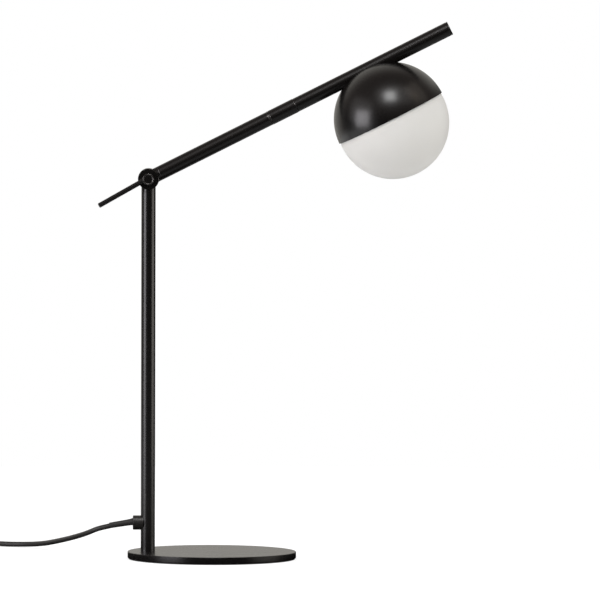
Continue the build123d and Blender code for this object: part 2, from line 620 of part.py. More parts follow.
def coil_place(step):
    """Point and direction of the coil after a number of spans: layers spiral in and out by turns."""
    span_turns = COIL_TURNS / COIL_LAYERS / COIL_SPANS
    layer, within = divmod(step, COIL_SPANS)
    inwards = layer % 2 == 0
    reverses = within == 0 and 0 < step < COIL_LAYERS * COIL_SPANS
    shift = COIL_PITCH * span_turns * within
    radius = COIL_OUTER_RADIUS - shift if inwards else COIL_INNER_RADIUS + shift
    drift = 0 if reverses else (-1 if inwards else 1) * COIL_PITCH / (2 * pi)
    if step == COIL_LAYERS * COIL_SPANS:
        radius, drift = COIL_OUTER_RADIUS, 0
    height = COIL_LOW + COIL_PITCH * (layer - 0.5 if reverses else min(layer, COIL_LAYERS - 1))
    climb = COIL_PITCH * pi / 4 / (2 * pi * span_turns) if reverses else 0
    if step == 0:
        drift = 0
    angle = pi / 2 + 2 * pi * span_turns * step
    outward = Vector(cos(angle), sin(angle), 0)
    onward = Vector(-sin(angle), cos(angle), 0)
    place = Vector(COIL_X, COIL_Y, height) + outward * radius
    return place, (onward * radius + outward * drift + Vector(0, 0, climb)).normalized()


def biarc(start, start_way, end, end_way):
    """Two arcs that meet smoothly, from one point and direction to another."""
    chord = end - start
    both = start_way + end_way
    a = 2 * (1 - start_way.dot(end_way))
    b = 2 * chord.dot(both)
    c = -chord.dot(chord)
    reach = -c / b if abs(a) < 1e-9 else (-b + sqrt(b * b - 4 * a * c)) / (2 * a)
    middle = (start + end + (start_way - end_way) * reach) / 2
    middle_way = (end - end_way * reach - start - start_way * reach).normalized()
    return [Edge.make_tangent_arc(start, start_way, middle), Edge.make_tangent_arc(middle, middle_way, end)]


def coil_path():
    places = [coil_place(step) for step in range(COIL_LAYERS * COIL_SPANS + 1)]
    first, last = places[0], places[-1]
    edges = [Edge.make_line(first[0] - first[1] * CORD_DIAMETER, first[0])]
    for (start, start_way), (end, end_way) in zip(places, places[1:]):
        edges += biarc(start, start_way, end, end_way)
    return Wire(edges + [Edge.make_line(last[0], last[0] + last[1] * CORD_DIAMETER)])


def least_self_gap(path):
    """Least clear distance between turns, measured on points a quarter of a diameter apart."""
    count = ceil(path.length / CORD_DIAMETER * 4)
    points = [path.position_at(i / count) for i in range(count + 1)]
    apart = 4 * ceil(COIL_INNER_RADIUS / CORD_DIAMETER * pi)
    return min((points[i] - points[j]).length for i in range(count + 1) for j in range(i + apart, count + 1)) - CORD_DIAMETER


def cord_coil():
    path = coil_path()
    coil = sweep(path.location_at(0) * RegularPolygon(CORD_RADIUS, COIL_SIDES), path)
    print("cord_coil length", round(path.length, 1), "least gap", round(least_self_gap(path), 2),
          "volume", round(coil.volume), "across", round(2 * (COIL_OUTER_RADIUS + CORD_RADIUS), 1))
    return coil


def coil_tie():
    low, high = FLOOR_GAP, COIL_LOW + COIL_PITCH * (COIL_LAYERS - 1) + CORD_RADIUS + TIE_GAP + TIE_THICKNESS
    near = COIL_INNER_RADIUS - CORD_RADIUS - TIE_GAP - TIE_THICKNESS
    far = COIL_OUTER_RADIUS + CORD_RADIUS + TIE_GAP + TIE_THICKNESS
    loop = block((near, far), (-TIE_WIDTH / 2, TIE_WIDTH / 2), (low, high))
    loop = fillet(loop.edges().filter_by(Axis.Y), TIE_CORNER)
    hole = block((near + TIE_THICKNESS, far - TIE_THICKNESS), (-TIE_WIDTH / 2, TIE_WIDTH / 2),
                 (low + TIE_THICKNESS, high - TIE_THICKNESS))
    return Pos(COIL_X, COIL_Y, 0) * (loop - fillet(hole.edges().filter_by(Axis.Y), TIE_CORNER - TIE_THICKNESS))


def switch_housing():
    """Whole housing round its middle plane, with the cord's sockets and the screw holes."""
    half = SWITCH_HEIGHT / 2
    body = Pos(0, 0, -half) * extrude(SlotOverall(SWITCH_LENGTH, SWITCH_WIDTH), SWITCH_HEIGHT)
    body = chamfer(body.faces().filter_by(Plane.XY).edges(), SWITCH_CHAMFER)
    for side in (-1, 1):
        ends = sorted((side * SWITCH_LENGTH / 2, side * (SWITCH_LENGTH / 2 - SWITCH_SOCKET)))
        body -= rod_x(CORD_RADIUS + CORD_PLAY, *ends)
        x = side * SWITCH_SCREW_SPACING / 2
        body -= rod_z(SWITCH_SCREW_DIAMETER / 2 + SEAT_GAP, -half, SWITCH_SCREW_BITE + SEAT_GAP, x)
        body -= rod_z(SWITCH_SCREW_HEAD / 2 + SEAT_GAP, -half, SWITCH_SCREW_SUNK - half, x)
    return body


def switch_base():
    return SWITCH * split(switch_housing(), bisect_by=Plane.XY, keep=Keep.BOTTOM)


def switch_cover():
    cover = split(switch_housing(), bisect_by=Plane.XY, keep=Keep.TOP)
    tip = ROCKER_RISE + ROCKER_DISH
    reach = ROCKER_LENGTH / 2 * cos(radians(ROCKER_TILT)) + tip * sin(radians(ROCKER_TILT)) + ROCKER_PLAY
    wide = ROCKER_WIDTH / 2 + ROCKER_PLAY / 2
    cover -= block((-reach, reach), (-wide, wide), (0, SWITCH_HEIGHT))
    stud = ROCKER_WIDTH / 2 + ROCKER_STUD_LENGTH + FACE_GAP
    return SWITCH * (cover - rod_y(ROCKER_STUD_DIAMETER / 2 + RUN_GAP, -stud, stud, z=ROCKER_PIVOT))


def switch_screws():
    low = -SWITCH_HEIGHT / 2
    screws = []
    for side in (-1, 1):
        x = side * SWITCH_SCREW_SPACING / 2
        head = rod_z(SWITCH_SCREW_HEAD / 2, low + SWITCH_SCREW_SUNK / 4, low + SWITCH_SCREW_SUNK, x)
        screws.append(head + rod_z(SWITCH_SCREW_DIAMETER / 2, low + SWITCH_SCREW_SUNK, SWITCH_SCREW_BITE, x))
    return SWITCH * Compound(children=screws)


def switch_rocker():
    half = ROCKER_LENGTH / 2
    top = ROCKER_RISE
    outline = Polyline((-half, 0, -ROCKER_BELOW), (half, 0, -ROCKER_BELOW), (half, 0, top + ROCKER_DISH), (0, 0, top),
                       (-half, 0, top + ROCKER_DISH), close=True)
    rocker = extrude(make_face(outline), ROCKER_WIDTH / 2, both=True)
    stud = ROCKER_WIDTH / 2 + ROCKER_STUD_LENGTH
    rocker += rod_y(ROCKER_STUD_DIAMETER / 2, -stud, stud)
    return SWITCH * Pos(0, 0, ROCKER_PIVOT) * Rotation(0, -ROCKER_TILT, 0) * rocker


def plug_pin_places():
    return [side * PLUG_PIN_SPACING / 2 for side in (-1, 1)]


def plug_body():
    front = Plane.YZ * RectangleRounded(PLUG_WIDTH, PLUG_THICKNESS, PLUG_CORNER)
    rear = Plane.YZ.offset(-PLUG_LENGTH) * RectangleRounded(PLUG_REAR_WIDTH, PLUG_REAR_THICKNESS, PLUG_CORNER)
    body = loft([front, rear])
    relief_end = -PLUG_LENGTH - PLUG_RELIEF_LENGTH
    relief = Rotation(0, -90, 0) * turned(
        (0, PLUG_LENGTH), (PLUG_RELIEF_ROOT / 2, PLUG_LENGTH),
        (PLUG_RELIEF_TIP / 2, PLUG_LENGTH + PLUG_RELIEF_LENGTH), (0, PLUG_LENGTH + PLUG_RELIEF_LENGTH))
    body += relief
    body -= rod_x(CORD_RADIUS + CORD_PLAY, relief_end, relief_end + PLUG_SOCKET)
    for y in plug_pin_places():
        body -= rod_x(pin_core() + SEAT_GAP, -PLUG_PIN_ROOT, 0, y=y)
    return PLUG * body


def pin_core():
    return PLUG_PIN_DIAMETER / 2 - PIN_SLEEVE_WALL - SEAT_GAP


def plug_pins():
    pins = []
    for y in plug_pin_places():
        tip = rod_x(PLUG_PIN_DIAMETER / 2, PIN_SLEEVE_LENGTH, PLUG_PIN_LENGTH, y=y)
        tip = chamfer(tip.edges().filter_by(GeomType.CIRCLE).group_by(Axis.X)[-1], PLUG_PIN_TIP_CHAMFER)
        pins.append(tip + rod_x(pin_core(), -PLUG_PIN_ROOT, PIN_SLEEVE_LENGTH, y=y))
    return PLUG * Compound(children=pins)


def pin_sleeves():
    sleeves = [Pos(0, y, 0) * pipe_x(PLUG_PIN_DIAMETER / 2, pin_core() + SEAT_GAP, 0, PIN_SLEEVE_LENGTH)
               for y in plug_pin_places()]
    return PLUG * Compound(children=sleeves)


PIECES = [
    base_plate, base_pad, base_screw, pole_foot, pole_tube, pole_knuckle, pole_lead, cord_gland, strain_relief,
    arm_knuckle, friction_washer, pivot_nut, arm_tube_inner, swivel_spindle, swivel_washer, spindle_clip, arm_lead,
    lever_boss, lever_rod,
    swivel_collar, stop_pin, arm_tube_outer, arm_end_plug, shade_cap, saddle_boss, holder_nipple, nipple_nut,
    globe_carrier, globe_gasket, globe_clips, opal_globe, lampholder, holder_contacts, bulb_pins, bulb_base,
    bulb_envelope, head_lead,
    cord_coil, coil_tie, switch_base, switch_cover, switch_screws, switch_rocker, plug_body, plug_pins, pin_sleeves,
]
CORD_ROUTES = {"cord_front": CORD_FRONT_ROUTE, "cord_link": CORD_LINK_ROUTE, "cord_tail": CORD_TAIL_ROUTE}

os.makedirs("parts", exist_ok=True)
for piece in PIECES:
    export_step(piece(), f"parts/{piece.__name__}.step")
for cord_name, cord_route in CORD_ROUTES.items():
    export_step(cord_stretch(cord_name, cord_route), f"parts/{cord_name}.step")
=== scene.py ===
"""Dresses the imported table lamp: its finishes, its mains lead, and the studio it stands in."""

import json
import logging
import math
from dataclasses import dataclass, field
from enum import Enum
from typing import Any, Mapping, Sequence

import bmesh
import bpy
from mathutils import Matrix, Vector


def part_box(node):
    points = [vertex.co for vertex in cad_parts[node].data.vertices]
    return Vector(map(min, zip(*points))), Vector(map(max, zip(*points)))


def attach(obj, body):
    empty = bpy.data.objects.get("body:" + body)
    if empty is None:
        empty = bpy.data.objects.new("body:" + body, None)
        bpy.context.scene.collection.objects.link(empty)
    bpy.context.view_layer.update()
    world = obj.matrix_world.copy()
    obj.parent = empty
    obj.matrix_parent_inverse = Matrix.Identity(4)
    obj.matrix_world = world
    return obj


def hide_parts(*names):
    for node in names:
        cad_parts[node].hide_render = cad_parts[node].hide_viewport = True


Piece = bpy.types.Object
Pair = tuple[float, float]
Triple = tuple[float, float, float]

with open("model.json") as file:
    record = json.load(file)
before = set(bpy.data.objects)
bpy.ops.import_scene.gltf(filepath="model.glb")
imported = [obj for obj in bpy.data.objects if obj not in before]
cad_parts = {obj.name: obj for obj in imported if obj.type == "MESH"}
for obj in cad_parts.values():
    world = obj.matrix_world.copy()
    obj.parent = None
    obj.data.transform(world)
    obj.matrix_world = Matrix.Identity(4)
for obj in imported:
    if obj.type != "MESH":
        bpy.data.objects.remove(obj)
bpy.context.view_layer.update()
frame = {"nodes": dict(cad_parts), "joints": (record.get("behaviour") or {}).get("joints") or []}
LOG = logging.getLogger("lamp")
MM = 0.001
PHOTO_PIXELS = 600
PHOTO_PIXEL_SIZE = 0.889 * MM
# Name of the face mark that turns edges to unpainted metal: partly wear, partly a painted highlight.
WEAR_AND_HIGHLIGHT = "wear_and_highlight"
WHITE = (1.0, 1.0, 1.0)
NOISE_MIDDLE = 0.5


class Body(Enum):
    """The lamp's moving bodies."""

    STAND = "stand"
    ARM = "arm"
    LEVER = "lever"
    HEAD = "head"
    ROCKER = "rocker"


class Slot(Enum):
    """The lamp's material slots."""

    COAT = "black_coat"
    OPAL = "opal_glass"
    PLASTIC = "black_plastic"
    RUBBER = "black_rubber"
    SHEATH = "cord_sheath"
    PIN = "pin_metal"
    STEEL = "zinc_steel"
    BRASS = "contact_brass"
    BULB = "bulb_glass"
    HOLDER = "holder_white"


class Signal:
    """A shader socket whose arithmetic adds Math nodes."""

    def __init__(self, board: "Board", socket: bpy.types.NodeSocket) -> None:
        """Keeps the socket and the board it is on."""
        self.board = board
        self.socket = socket

    def _math(self, operation: str, first: Any, second: Any) -> "Signal":
        """Adds one Math node.

        Args:
            operation: The Math node's operation.
            first: Its first value or signal.
            second: Its second value or signal.

        Returns:
            The node's result.
        """
        node = self.board.add("ShaderNodeMath", {"operation": operation}, {0: first, 1: second})
        return Signal(self.board, node.outputs[0])

    def __add__(self, other: Any) -> "Signal":
        """Sum."""
        return self._math("ADD", self, other)

    __radd__ = __add__

    def __sub__(self, other: Any) -> "Signal":
        """Difference."""
        return self._math("SUBTRACT", self, other)

    def __rsub__(self, other: Any) -> "Signal":
        """Difference from a plain value."""
        return self._math("SUBTRACT", other, self)

    def __mul__(self, other: Any) -> "Signal":
        """Product."""
        return self._math("MULTIPLY", self, other)

    __rmul__ = __mul__

    def larger(self, other: Any) -> "Signal":
        """The larger of two values."""
        return self._math("MAXIMUM", self, other)

    def above(self, other: Any) -> "Signal":
        """One where this is above the other, else nought."""
        return self._math("GREATER_THAN", self, other)


class Board:
    """A node tree that is filled node by node."""

    # A Mix node's sockets for colours go by number, because their names repeat
    MIX_FACTOR = 0
    MIX_LOW = 6
    MIX_HIGH = 7
    MIX_RESULT = 2
    GRAIN_DETAIL = 2.0

    def __init__(self, tree: bpy.types.NodeTree) -> None:
        """Empties the tree."""
        self.tree = tree
        tree.nodes.clear()

    def add(self, kind: str, settings: Mapping[str, Any] | None = None,
            sockets: Mapping[Any, Any] | None = None) -> bpy.types.Node:
        """Makes one node.

        Args:
            kind: The node's type.
            settings: Its properties, set first.
            sockets: Values, signals or sockets for its inputs, by name or number.

        Returns:
            The node.
        """
        node = self.tree.nodes.new(kind)
        for key, value in (settings or {}).items():
            setattr(node, key, value)
        for key, value in (sockets or {}).items():
            if isinstance(value, Signal):
                value = value.socket
            if isinstance(value, bpy.types.NodeSocket):
                self.tree.links.new(value, node.inputs[key])
            else:
                node.inputs[key].default_value = value
        return node

    def signal(self, kind: str, output: str, settings: Mapping[str, Any] | None = None,
               sockets: Mapping[Any, Any] | None = None) -> Signal:
        """Makes one node and gives one of its outputs as a signal."""
        return Signal(self, self.add(kind, settings, sockets).outputs[output])

    def blend(self, factor: Signal, low: Any, high: Any) -> bpy.types.NodeSocket:
        """Mixes two colours.

        Args:
            factor: Share of the second colour.
            low: First colour, or its socket.
            high: Second colour, or its socket.

        Returns:
            The mixed colour's socket.
        """
        first, second = ((*end, 1.0) if isinstance(end, tuple) else end for end in (low, high))
        mix = self.add("ShaderNodeMix", {"data_type": "RGBA"}, {
            self.MIX_FACTOR: factor, self.MIX_LOW: first, self.MIX_HIGH: second})
        return mix.outputs[self.MIX_RESULT]

    def ramp(self, value: Signal, span: Sequence[float], low: Any, high: Any) -> Signal:
        """Goes smoothly from one level to another.

        Args:
            value: What the level follows.
            span: Where it starts and ends.
            low: Level before the span.
            high: Level after it.

        Returns:
            The level.
        """
        return self.signal("ShaderNodeMapRange", "Result", {"interpolation_type": "SMOOTHSTEP"}, {
            "Value": value, "From Min": span[0], "From Max": span[1], "To Min": low, "To Max": high})

    def grain(self, place: bpy.types.NodeSocket, size: float) -> Signal:
        """Even noise whose lumps are about the given size, in metres."""
        return self.signal("ShaderNodeTexNoise", "Fac", sockets={
            "Vector": place, "Scale": 1.0 / size, "Detail": self.GRAIN_DETAIL})


@dataclass(frozen=True)
class Finish:
    """A surface with fine grain, a cloudy tone, gloss that follows both, and unpainted metal on marked edges
    that is partly wear and partly a painted highlight.
    """

    name: str
    dark: Triple
    light: Triple
    roughness: float
    gloss_change: float
    grain_size: float
    grain_depth: float
    grain_strength: float = 0.2
    tone_size: float = 30 * MM
    metallic: float = 0.0
    specular: float = 0.5
    subsurface: float = 0.0
    subsurface_reach: float = 0.0
    subsurface_tint: Triple = (1.0, 0.97, 0.93)
    stretch: Triple = (1.0, 1.0, 1.0)
    # Unpainted-metal colour on marked edges: partly wear, partly a painted highlight along them.
    bare_and_highlight: Triple | None = None

    def material(self) -> bpy.types.Material:
        """Makes the finish's material.

        Returns:
            A material whose pattern follows Object coordinates.
        """
        material = bpy.data.materials.new(self.name)
        material.use_nodes = True
        board = Board(material.node_tree)
        coordinates = board.add("ShaderNodeTexCoord").outputs["Object"]
        place = board.add("ShaderNodeMapping", sockets={
            "Vector": coordinates, "Scale": self.stretch}).outputs["Vector"]
        tone = board.grain(place, self.tone_size)
        fine = board.grain(place, self.grain_size)
        bump = board.add("ShaderNodeBump", sockets={
            "Strength": self.grain_strength, "Distance": self.grain_depth, "Height": fine})
        colour, metallic = board.blend(tone, self.dark, self.light), self.metallic
        # Marked edges show unpainted metal: partly wear, partly painted highlights on the edges.
        if self.bare_and_highlight:
            wear_and_highlight = board.signal("ShaderNodeAttribute", "Fac", {"attribute_name": WEAR_AND_HIGHLIGHT})
            colour, metallic = board.blend(wear_and_highlight, colour, self.bare_and_highlight), wear_and_highlight.above(0.0)
        change = (tone - NOISE_MIDDLE) * self.gloss_change + (fine - NOISE_MIDDLE) * self.gloss_change
        shader = board.add("ShaderNodeBsdfPrincipled", {"subsurface_method": "RANDOM_WALK"}, {
            "Base Color": colour,
            "Roughness": change + self.roughness,
            "Metallic": metallic,
            "Specular IOR Level": self.specular,
            "Subsurface Weight": self.subsurface,
            "Subsurface Radius": self.subsurface_tint,
            "Subsurface Scale": self.subsurface_reach,
            "Normal": bump.outputs["Normal"],
        })
        board.add("ShaderNodeOutputMaterial", sockets={"Surface": shader.outputs["BSDF"]})
        return material


FINISHES: dict[Slot, Finish] = {
    # The coat's edge colour is partly wear and partly a painted highlight.
    Slot.COAT: Finish("powder_coat", (0.0020, 0.0016, 0.0014), (0.0028, 0.0023, 0.0020), roughness=0.27,
                      gloss_change=0.03, grain_size=0.35 * MM, grain_depth=0.0015 * MM, tone_size=40 * MM,
                      specular=0.45, bare_and_highlight=(0.42, 0.41, 0.40)),
    Slot.OPAL: Finish("opal_glass", (0.656, 0.634, 0.590), (0.684, 0.664, 0.622), roughness=0.45,
                      gloss_change=0.04, grain_size=1.6 * MM, grain_depth=0.01 * MM, tone_size=60 * MM,
                      specular=0.25, subsurface=0.6, subsurface_reach=25 * MM),
    Slot.PLASTIC: Finish("moulded_plastic", (0.0065, 0.0060, 0.0052), (0.0090, 0.0084, 0.0075),
                         roughness=0.42, gloss_change=0.08, grain_size=0.25 * MM, grain_depth=0.03 * MM,
                         grain_strength=0.5, tone_size=12 * MM),
    Slot.RUBBER: Finish("rubber", (0.0095, 0.0090, 0.0085), (0.0150, 0.0145, 0.0140), roughness=0.62,
                        gloss_change=0.08, grain_size=0.4 * MM, grain_depth=0.05 * MM, grain_strength=0.5,
                        tone_size=8 * MM),
    Slot.SHEATH: Finish("cord_sheath", (0.0100, 0.0092, 0.0086), (0.0150, 0.0140, 0.0132), roughness=0.50,
                        gloss_change=0.10, grain_size=0.5 * MM, grain_depth=0.04 * MM, grain_strength=0.5,
                        tone_size=10 * MM),
    Slot.PIN: Finish("nickel_plate", (0.60, 0.59, 0.57), (0.68, 0.67, 0.65), roughness=0.22,
                     gloss_change=0.10, grain_size=0.3 * MM, grain_depth=0.01 * MM, metallic=1.0,
                     stretch=(1.0, 0.1, 1.0)),
    Slot.STEEL: Finish("zinc_plate", (0.50, 0.51, 0.53), (0.60, 0.61, 0.62), roughness=0.34,
                       gloss_change=0.14, grain_size=0.5 * MM, grain_depth=0.02 * MM, metallic=1.0),
    Slot.BRASS: Finish("plain_brass", (0.62, 0.46, 0.20), (0.72, 0.56, 0.28), roughness=0.30,
                       gloss_change=0.10, grain_size=0.4 * MM, grain_depth=0.01 * MM, metallic=1.0),
    Slot.BULB: Finish("frosted_glass", (0.80, 0.80, 0.78), (0.86, 0.86, 0.84), roughness=0.40,
                      gloss_change=0.05, grain_size=0.3 * MM, grain_depth=0.01 * MM, subsurface=0.4,
                      subsurface_reach=4 * MM),
    Slot.HOLDER: Finish("white_moulding", (0.74, 0.73, 0.70), (0.80, 0.79, 0.76), roughness=0.35,
                        gloss_change=0.08, grain_size=0.3 * MM, grain_depth=0.02 * MM),
}


class Bench:
    """Modelling moves that the pieces share, and the finishes they are given."""

    SHARP = math.radians(35)
    FLAT = math.radians(1)
    MERGE = 0.001 * MM
    CUT_MERGE = 0.0001 * MM
    STRAIGHT = 0.99
    EVEN_WEIGHT = 100
    COPY_STEPS = 2

    def __init__(self) -> None:
        """Mixes each slot's finish once."""
        self.materials = {slot: finish.material() for slot, finish in FINISHES.items()}

    @staticmethod
    def clear() -> None:
        """Deselects everything."""
        bpy.ops.object.select_all(action="DESELECT")

    @staticmethod
    def pick(piece: Piece) -> None:
        """Makes one piece the only selected and active one.

        Args:
            piece: The piece.
        """
        Bench.clear()
        piece.select_set(True)
        bpy.context.view_layer.objects.active = piece

    @staticmethod
    def edit(kind: str = "EDGE") -> None:
        """Enters edit mode with everything selected.

        Args:
            kind: What is then selected: VERT, EDGE or FACE.
        """
        bpy.ops.object.mode_set(mode="EDIT")
        bpy.ops.mesh.select_mode(type=kind)
        bpy.ops.mesh.select_all(action="SELECT")

    @staticmethod
    def leave() -> None:
        """Goes back to object mode."""
        bpy.ops.object.mode_set(mode="OBJECT")

    @staticmethod
    def named(name: str) -> Piece:
        """Names the new primitive and its mesh.

        Args:
            name: The piece's name.

        Returns:
            The piece.
        """
        piece = bpy.context.object
        piece.name = name
        piece.data.name = name
        return piece

    def turn(self, name: str, rings: Sequence[Pair], segments: int = 96, hollow: bool = False,
             soften: float = 0.0, wear_and_highlight: float = 0.0) -> Piece:
        """Turns a round piece about Z by drawing one ring out of another.

        Args:
            name: The piece's name.
            rings: Radius and height of each ring, in metres.
            segments: Sides of each ring.
            hollow: Joins the last ring to the first, where a wall goes all the way round.
            soften: Width of the rounding on its sharp edges.
            wear_and_highlight: How much of those edges shows unpainted metal: partly wear, partly a painted
                highlight.

        Returns:
            The piece.
        """
        self.clear()
        radius, height = rings[0]
        bpy.ops.mesh.primitive_circle_add(vertices=segments, radius=radius, location=(0, 0, height))
        piece = self.named(name)
        self.edit()
        for next_radius, next_height in [*rings[1:], *rings[:int(hollow)]]:
            bpy.ops.mesh.extrude_edges_move(TRANSFORM_OT_translate={"value": (0, 0, next_height - height)})
            ratio = next_radius / radius
            bpy.ops.transform.resize(value=(ratio, ratio, 1), center_override=(0, 0, next_height))
            radius, height = next_radius, next_height
        bpy.ops.mesh.select_all(action="SELECT")
        bpy.ops.mesh.remove_doubles(threshold=self.MERGE)
        if not hollow:
            bpy.ops.mesh.fill_holes(sides=0)
        bpy.ops.mesh.select_all(action="SELECT")
        bpy.ops.mesh.normals_make_consistent(inside=False)
        self.leave()
        if soften:
            self.soften(piece, soften, wear_and_highlight=wear_and_highlight)
        return piece

    def soften(self, piece: Piece, width: float, segments: int = 3, wear_and_highlight: float = 0.0) -> None:
        """Rounds a piece's sharp edges.

        Args:
            piece: The piece.
            width: Width of the rounding.
            segments: Steps across it.
            wear_and_highlight: How much of the rounding shows unpainted metal, from 0 to 1: partly wear,
                partly a painted highlight.
        """
        self.pick(piece)
        self.edit()
        bpy.ops.mesh.select_all(action="DESELECT")
        bpy.ops.mesh.edges_select_sharp(sharpness=self.SHARP)
        bpy.ops.mesh.bevel(offset=width, segments=segments, affect="EDGES", clamp_overlap=True)
        self.leave()
        # Narrow rounding strips are marked for unpainted metal: partly wear, partly painted highlights on the
        # edges.
        if wear_and_highlight:
            mesh = piece.data
            marks = mesh.attributes.new(WEAR_AND_HIGHLIGHT, "FLOAT", "FACE")
            marks.data.foreach_set("value", [
                wear_and_highlight * (face.select and self._narrow(mesh, face, width)) for face in mesh.polygons])

    @staticmethod
    def _narrow(mesh: bpy.types.Mesh, face: bpy.types.MeshPolygon, width: float) -> bool:
        """Whether a face is a strip no wider than the given width.

        Args:
            mesh: The face's mesh.
            face: The face.
            width: The most that a strip may be wide.

        Returns:
            True for a strip.
        """
        points = mesh.vertices
        longest = max((points[end].co - points[start].co).length for start, end in face.edge_keys)
        return face.area <= width * longest

    def block(self, name: str, size: Sequence[float], centre: Sequence[float]) -> Piece:
        """Adds a box as the start of a piece.

        Args:
            name: The piece's name.
            size: Its three sides.
            centre: Its middle.

        Returns:
            The piece, with its size and place in its mesh.
        """
        self.clear()
        bpy.ops.mesh.primitive_cube_add(size=1, location=centre, scale=size)
        piece = self.named(name)
        self.place(piece, Matrix.Identity(4))
        return piece

    def round_edges(self, piece: Piece, axis: int, width: float, segments: int) -> None:
        """Rounds the edges of a box that run along one axis.

        Args:
            piece: The box.
            axis: 0, 1 or 2 for X, Y or Z.
            width: Width of the rounding.
            segments: Steps across it.
        """
        self.pick(piece)
        self.edit()
        bpy.ops.mesh.select_all(action="DESELECT")
        mesh = bmesh.from_edit_mesh(piece.data)
        for edge in mesh.edges:
            run = edge.verts[1].co - edge.verts[0].co
            edge.select_set(abs(run[axis]) > self.STRAIGHT * run.length)
        bmesh.update_edit_mesh(piece.data)
        bpy.ops.mesh.bevel(offset=width, segments=segments, affect="EDGES")
        self.leave()

    def modify(self, piece: Piece, name: str, kind: str, **settings: Any) -> None:
        """Adds one modifier to a piece and applies it.

        Args:
            piece: The piece.
            name: The modifier's name.
            kind: Its type.
            settings: Its settings.
        """
        self.pick(piece)
        modifier = piece.modifiers.new(name, kind)
        for key, value in settings.items():
            setattr(modifier, key, value)
        bpy.ops.object.modifier_apply(modifier=modifier.name)

    def cut(self, piece: Piece, tool: Piece) -> None:
        """Cuts one shape out of a piece and throws the shape away."""
        self.modify(piece, "cut", "BOOLEAN", object=tool, operation="DIFFERENCE", solver="EXACT")
        bpy.data.objects.remove(tool)

    def halve(self, piece: Piece, height: float, keep_top: bool, fill: bool) -> None:
        """Cuts a piece along a level plane and keeps one side.

        Args:
            piece: The piece.
            height: The plane's height.
            keep_top: Keeps what is above.
            fill: Closes the cut with a face.
        """
        self.pick(piece)
        self.edit()
        bpy.ops.mesh.bisect(plane_co=(0, 0, height), plane_no=(0, 0, 1), clear_inner=keep_top,
                            clear_outer=not keep_top, use_fill=fill, threshold=self.CUT_MERGE)
        self.leave()

    def thicken(self, piece: Piece, wall: float) -> None:
        """Gives a shell its wall, inwards."""
        self.modify(piece, "wall", "SOLIDIFY", thickness=wall, offset=-1)

    def copy_of(self, node: str, name: str, soften: float, body: Body, slot: Slot) -> Piece:
        """Copies a CAD node, joins its loose faces, rounds its edges a little and dresses it.

        Args:
            node: The CAD node.
            name: The piece's name.
            soften: Width of the rounding.
            body: The body it moves with.
            slot: Its finish.

        Returns:
            The piece.
        """
        piece = bpy.data.objects.new(name, frame["nodes"][node].data.copy())
        bpy.context.scene.collection.objects.link(piece)
        piece.data.name = name
        self.pick(piece)
        self.edit()
        bpy.ops.mesh.remove_doubles(threshold=self.MERGE)
        bpy.ops.mesh.dissolve_limited(angle_limit=self.FLAT)
        self.leave()
        self.soften(piece, soften, self.COPY_STEPS)
        return self.dress(piece, body, slot, node)

    def place(self, piece: Piece, place: Matrix) -> Piece:
        """Puts a piece in its place and writes that into its mesh.

        Args:
            piece: The piece.
            place: Where it goes in the lamp's frame.

        Returns:
            The piece.
        """
        self.pick(piece)
        piece.matrix_world = place @ piece.matrix_world
        bpy.ops.object.transform_apply(location=True, rotation=True, scale=True)
        return piece

    def dress(self, piece: Piece, body: Body, slot: Slot, *nodes: str,
              smooth: bool = True) -> Piece:
        """Finishes a piece and hangs it on its body.

        Args:
            piece: The piece.
            body: The body it moves with.
            slot: Its finish.
            nodes: The CAD nodes it stands for.
            smooth: Shades its round faces smooth.

        Returns:
            The piece.
        """
        if smooth:
            self.pick(piece)
            bpy.ops.object.shade_smooth_by_angle(angle=self.SHARP)
            self.modify(piece, "even_shading", "WEIGHTED_NORMAL", keep_sharp=True, weight=self.EVEN_WEIGHT)
        piece.data.materials.clear()
        piece.data.materials.append(self.materials[slot])
        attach(piece, body.value)
        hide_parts(*nodes)
        LOG.info("%s rides on %s", piece.name, body.value)
        return piece

    def keep(self, slot: Slot, *nodes: str) -> None:
        """Gives CAD nodes that stay as they are their finish.

        Args:
            slot: The finish.
            nodes: The CAD nodes.
        """
        for node in nodes:
            mesh = frame["nodes"][node].data
            mesh.materials.clear()
            mesh.materials.append(self.materials[slot])
            LOG.info("%s kept", node)


def along(axis: Vector, origin: Vector) -> Matrix:
    """Place whose Z runs along an axis, with its Y as nearly upwards as it can be.

    Args:
        axis: Direction for Z.
        origin: Where the origin goes.

    Returns:
        The place's matrix.
    """
    rotation = axis.to_track_quat("Z", "Y").to_matrix().to_4x4()
    return Matrix.Translation(origin) @ rotation


def in_metres(profile: Sequence[Pair]) -> list[Pair]:
    """Turns a profile's radii and heights from millimetres into metres."""
    return [(radius * MM, height * MM) for radius, height in profile]


@dataclass
class TiltFrame:
    """The arm's own frame: X along the arm, Z square to it, from the tilt joint."""

    origin: Vector
    along_arm: Vector

    @classmethod
    def read(cls) -> "TiltFrame":
        """Reads the joint's place and the arm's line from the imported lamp."""
        joint = next(joint for joint in frame["joints"] if joint["name"] == "head_turn")
        return cls(Vector(joint["pos_m"]), Vector(joint["axis"]).normalized())

    @property
    def up(self) -> Vector:
        """Direction square to the arm, away from the table."""
        return self.along_arm.cross(Vector((0, 1, 0))).normalized()

    def at(self, reach: float, height: float = 0.0) -> Vector:
        """Point at a reach along the arm and a height square to it."""
        return self.origin + self.along_arm * reach + self.up * height

    def bar(self) -> Matrix:
        """Place for what is turned about the arm's line."""
        return along(self.along_arm, self.origin)

    def head(self, reach: float, height: float) -> Matrix:
        """Place for what is turned about the cap's axis.

        Args:
            reach: How far along the arm it is.
            height: How far from the arm's line.

        Returns:
            The place's matrix.
        """
        turned = Matrix((self.along_arm, Vector((0, 1, 0)), self.up)).transposed().to_4x4()
        return Matrix.Translation(self.at(reach, height)) @ turned


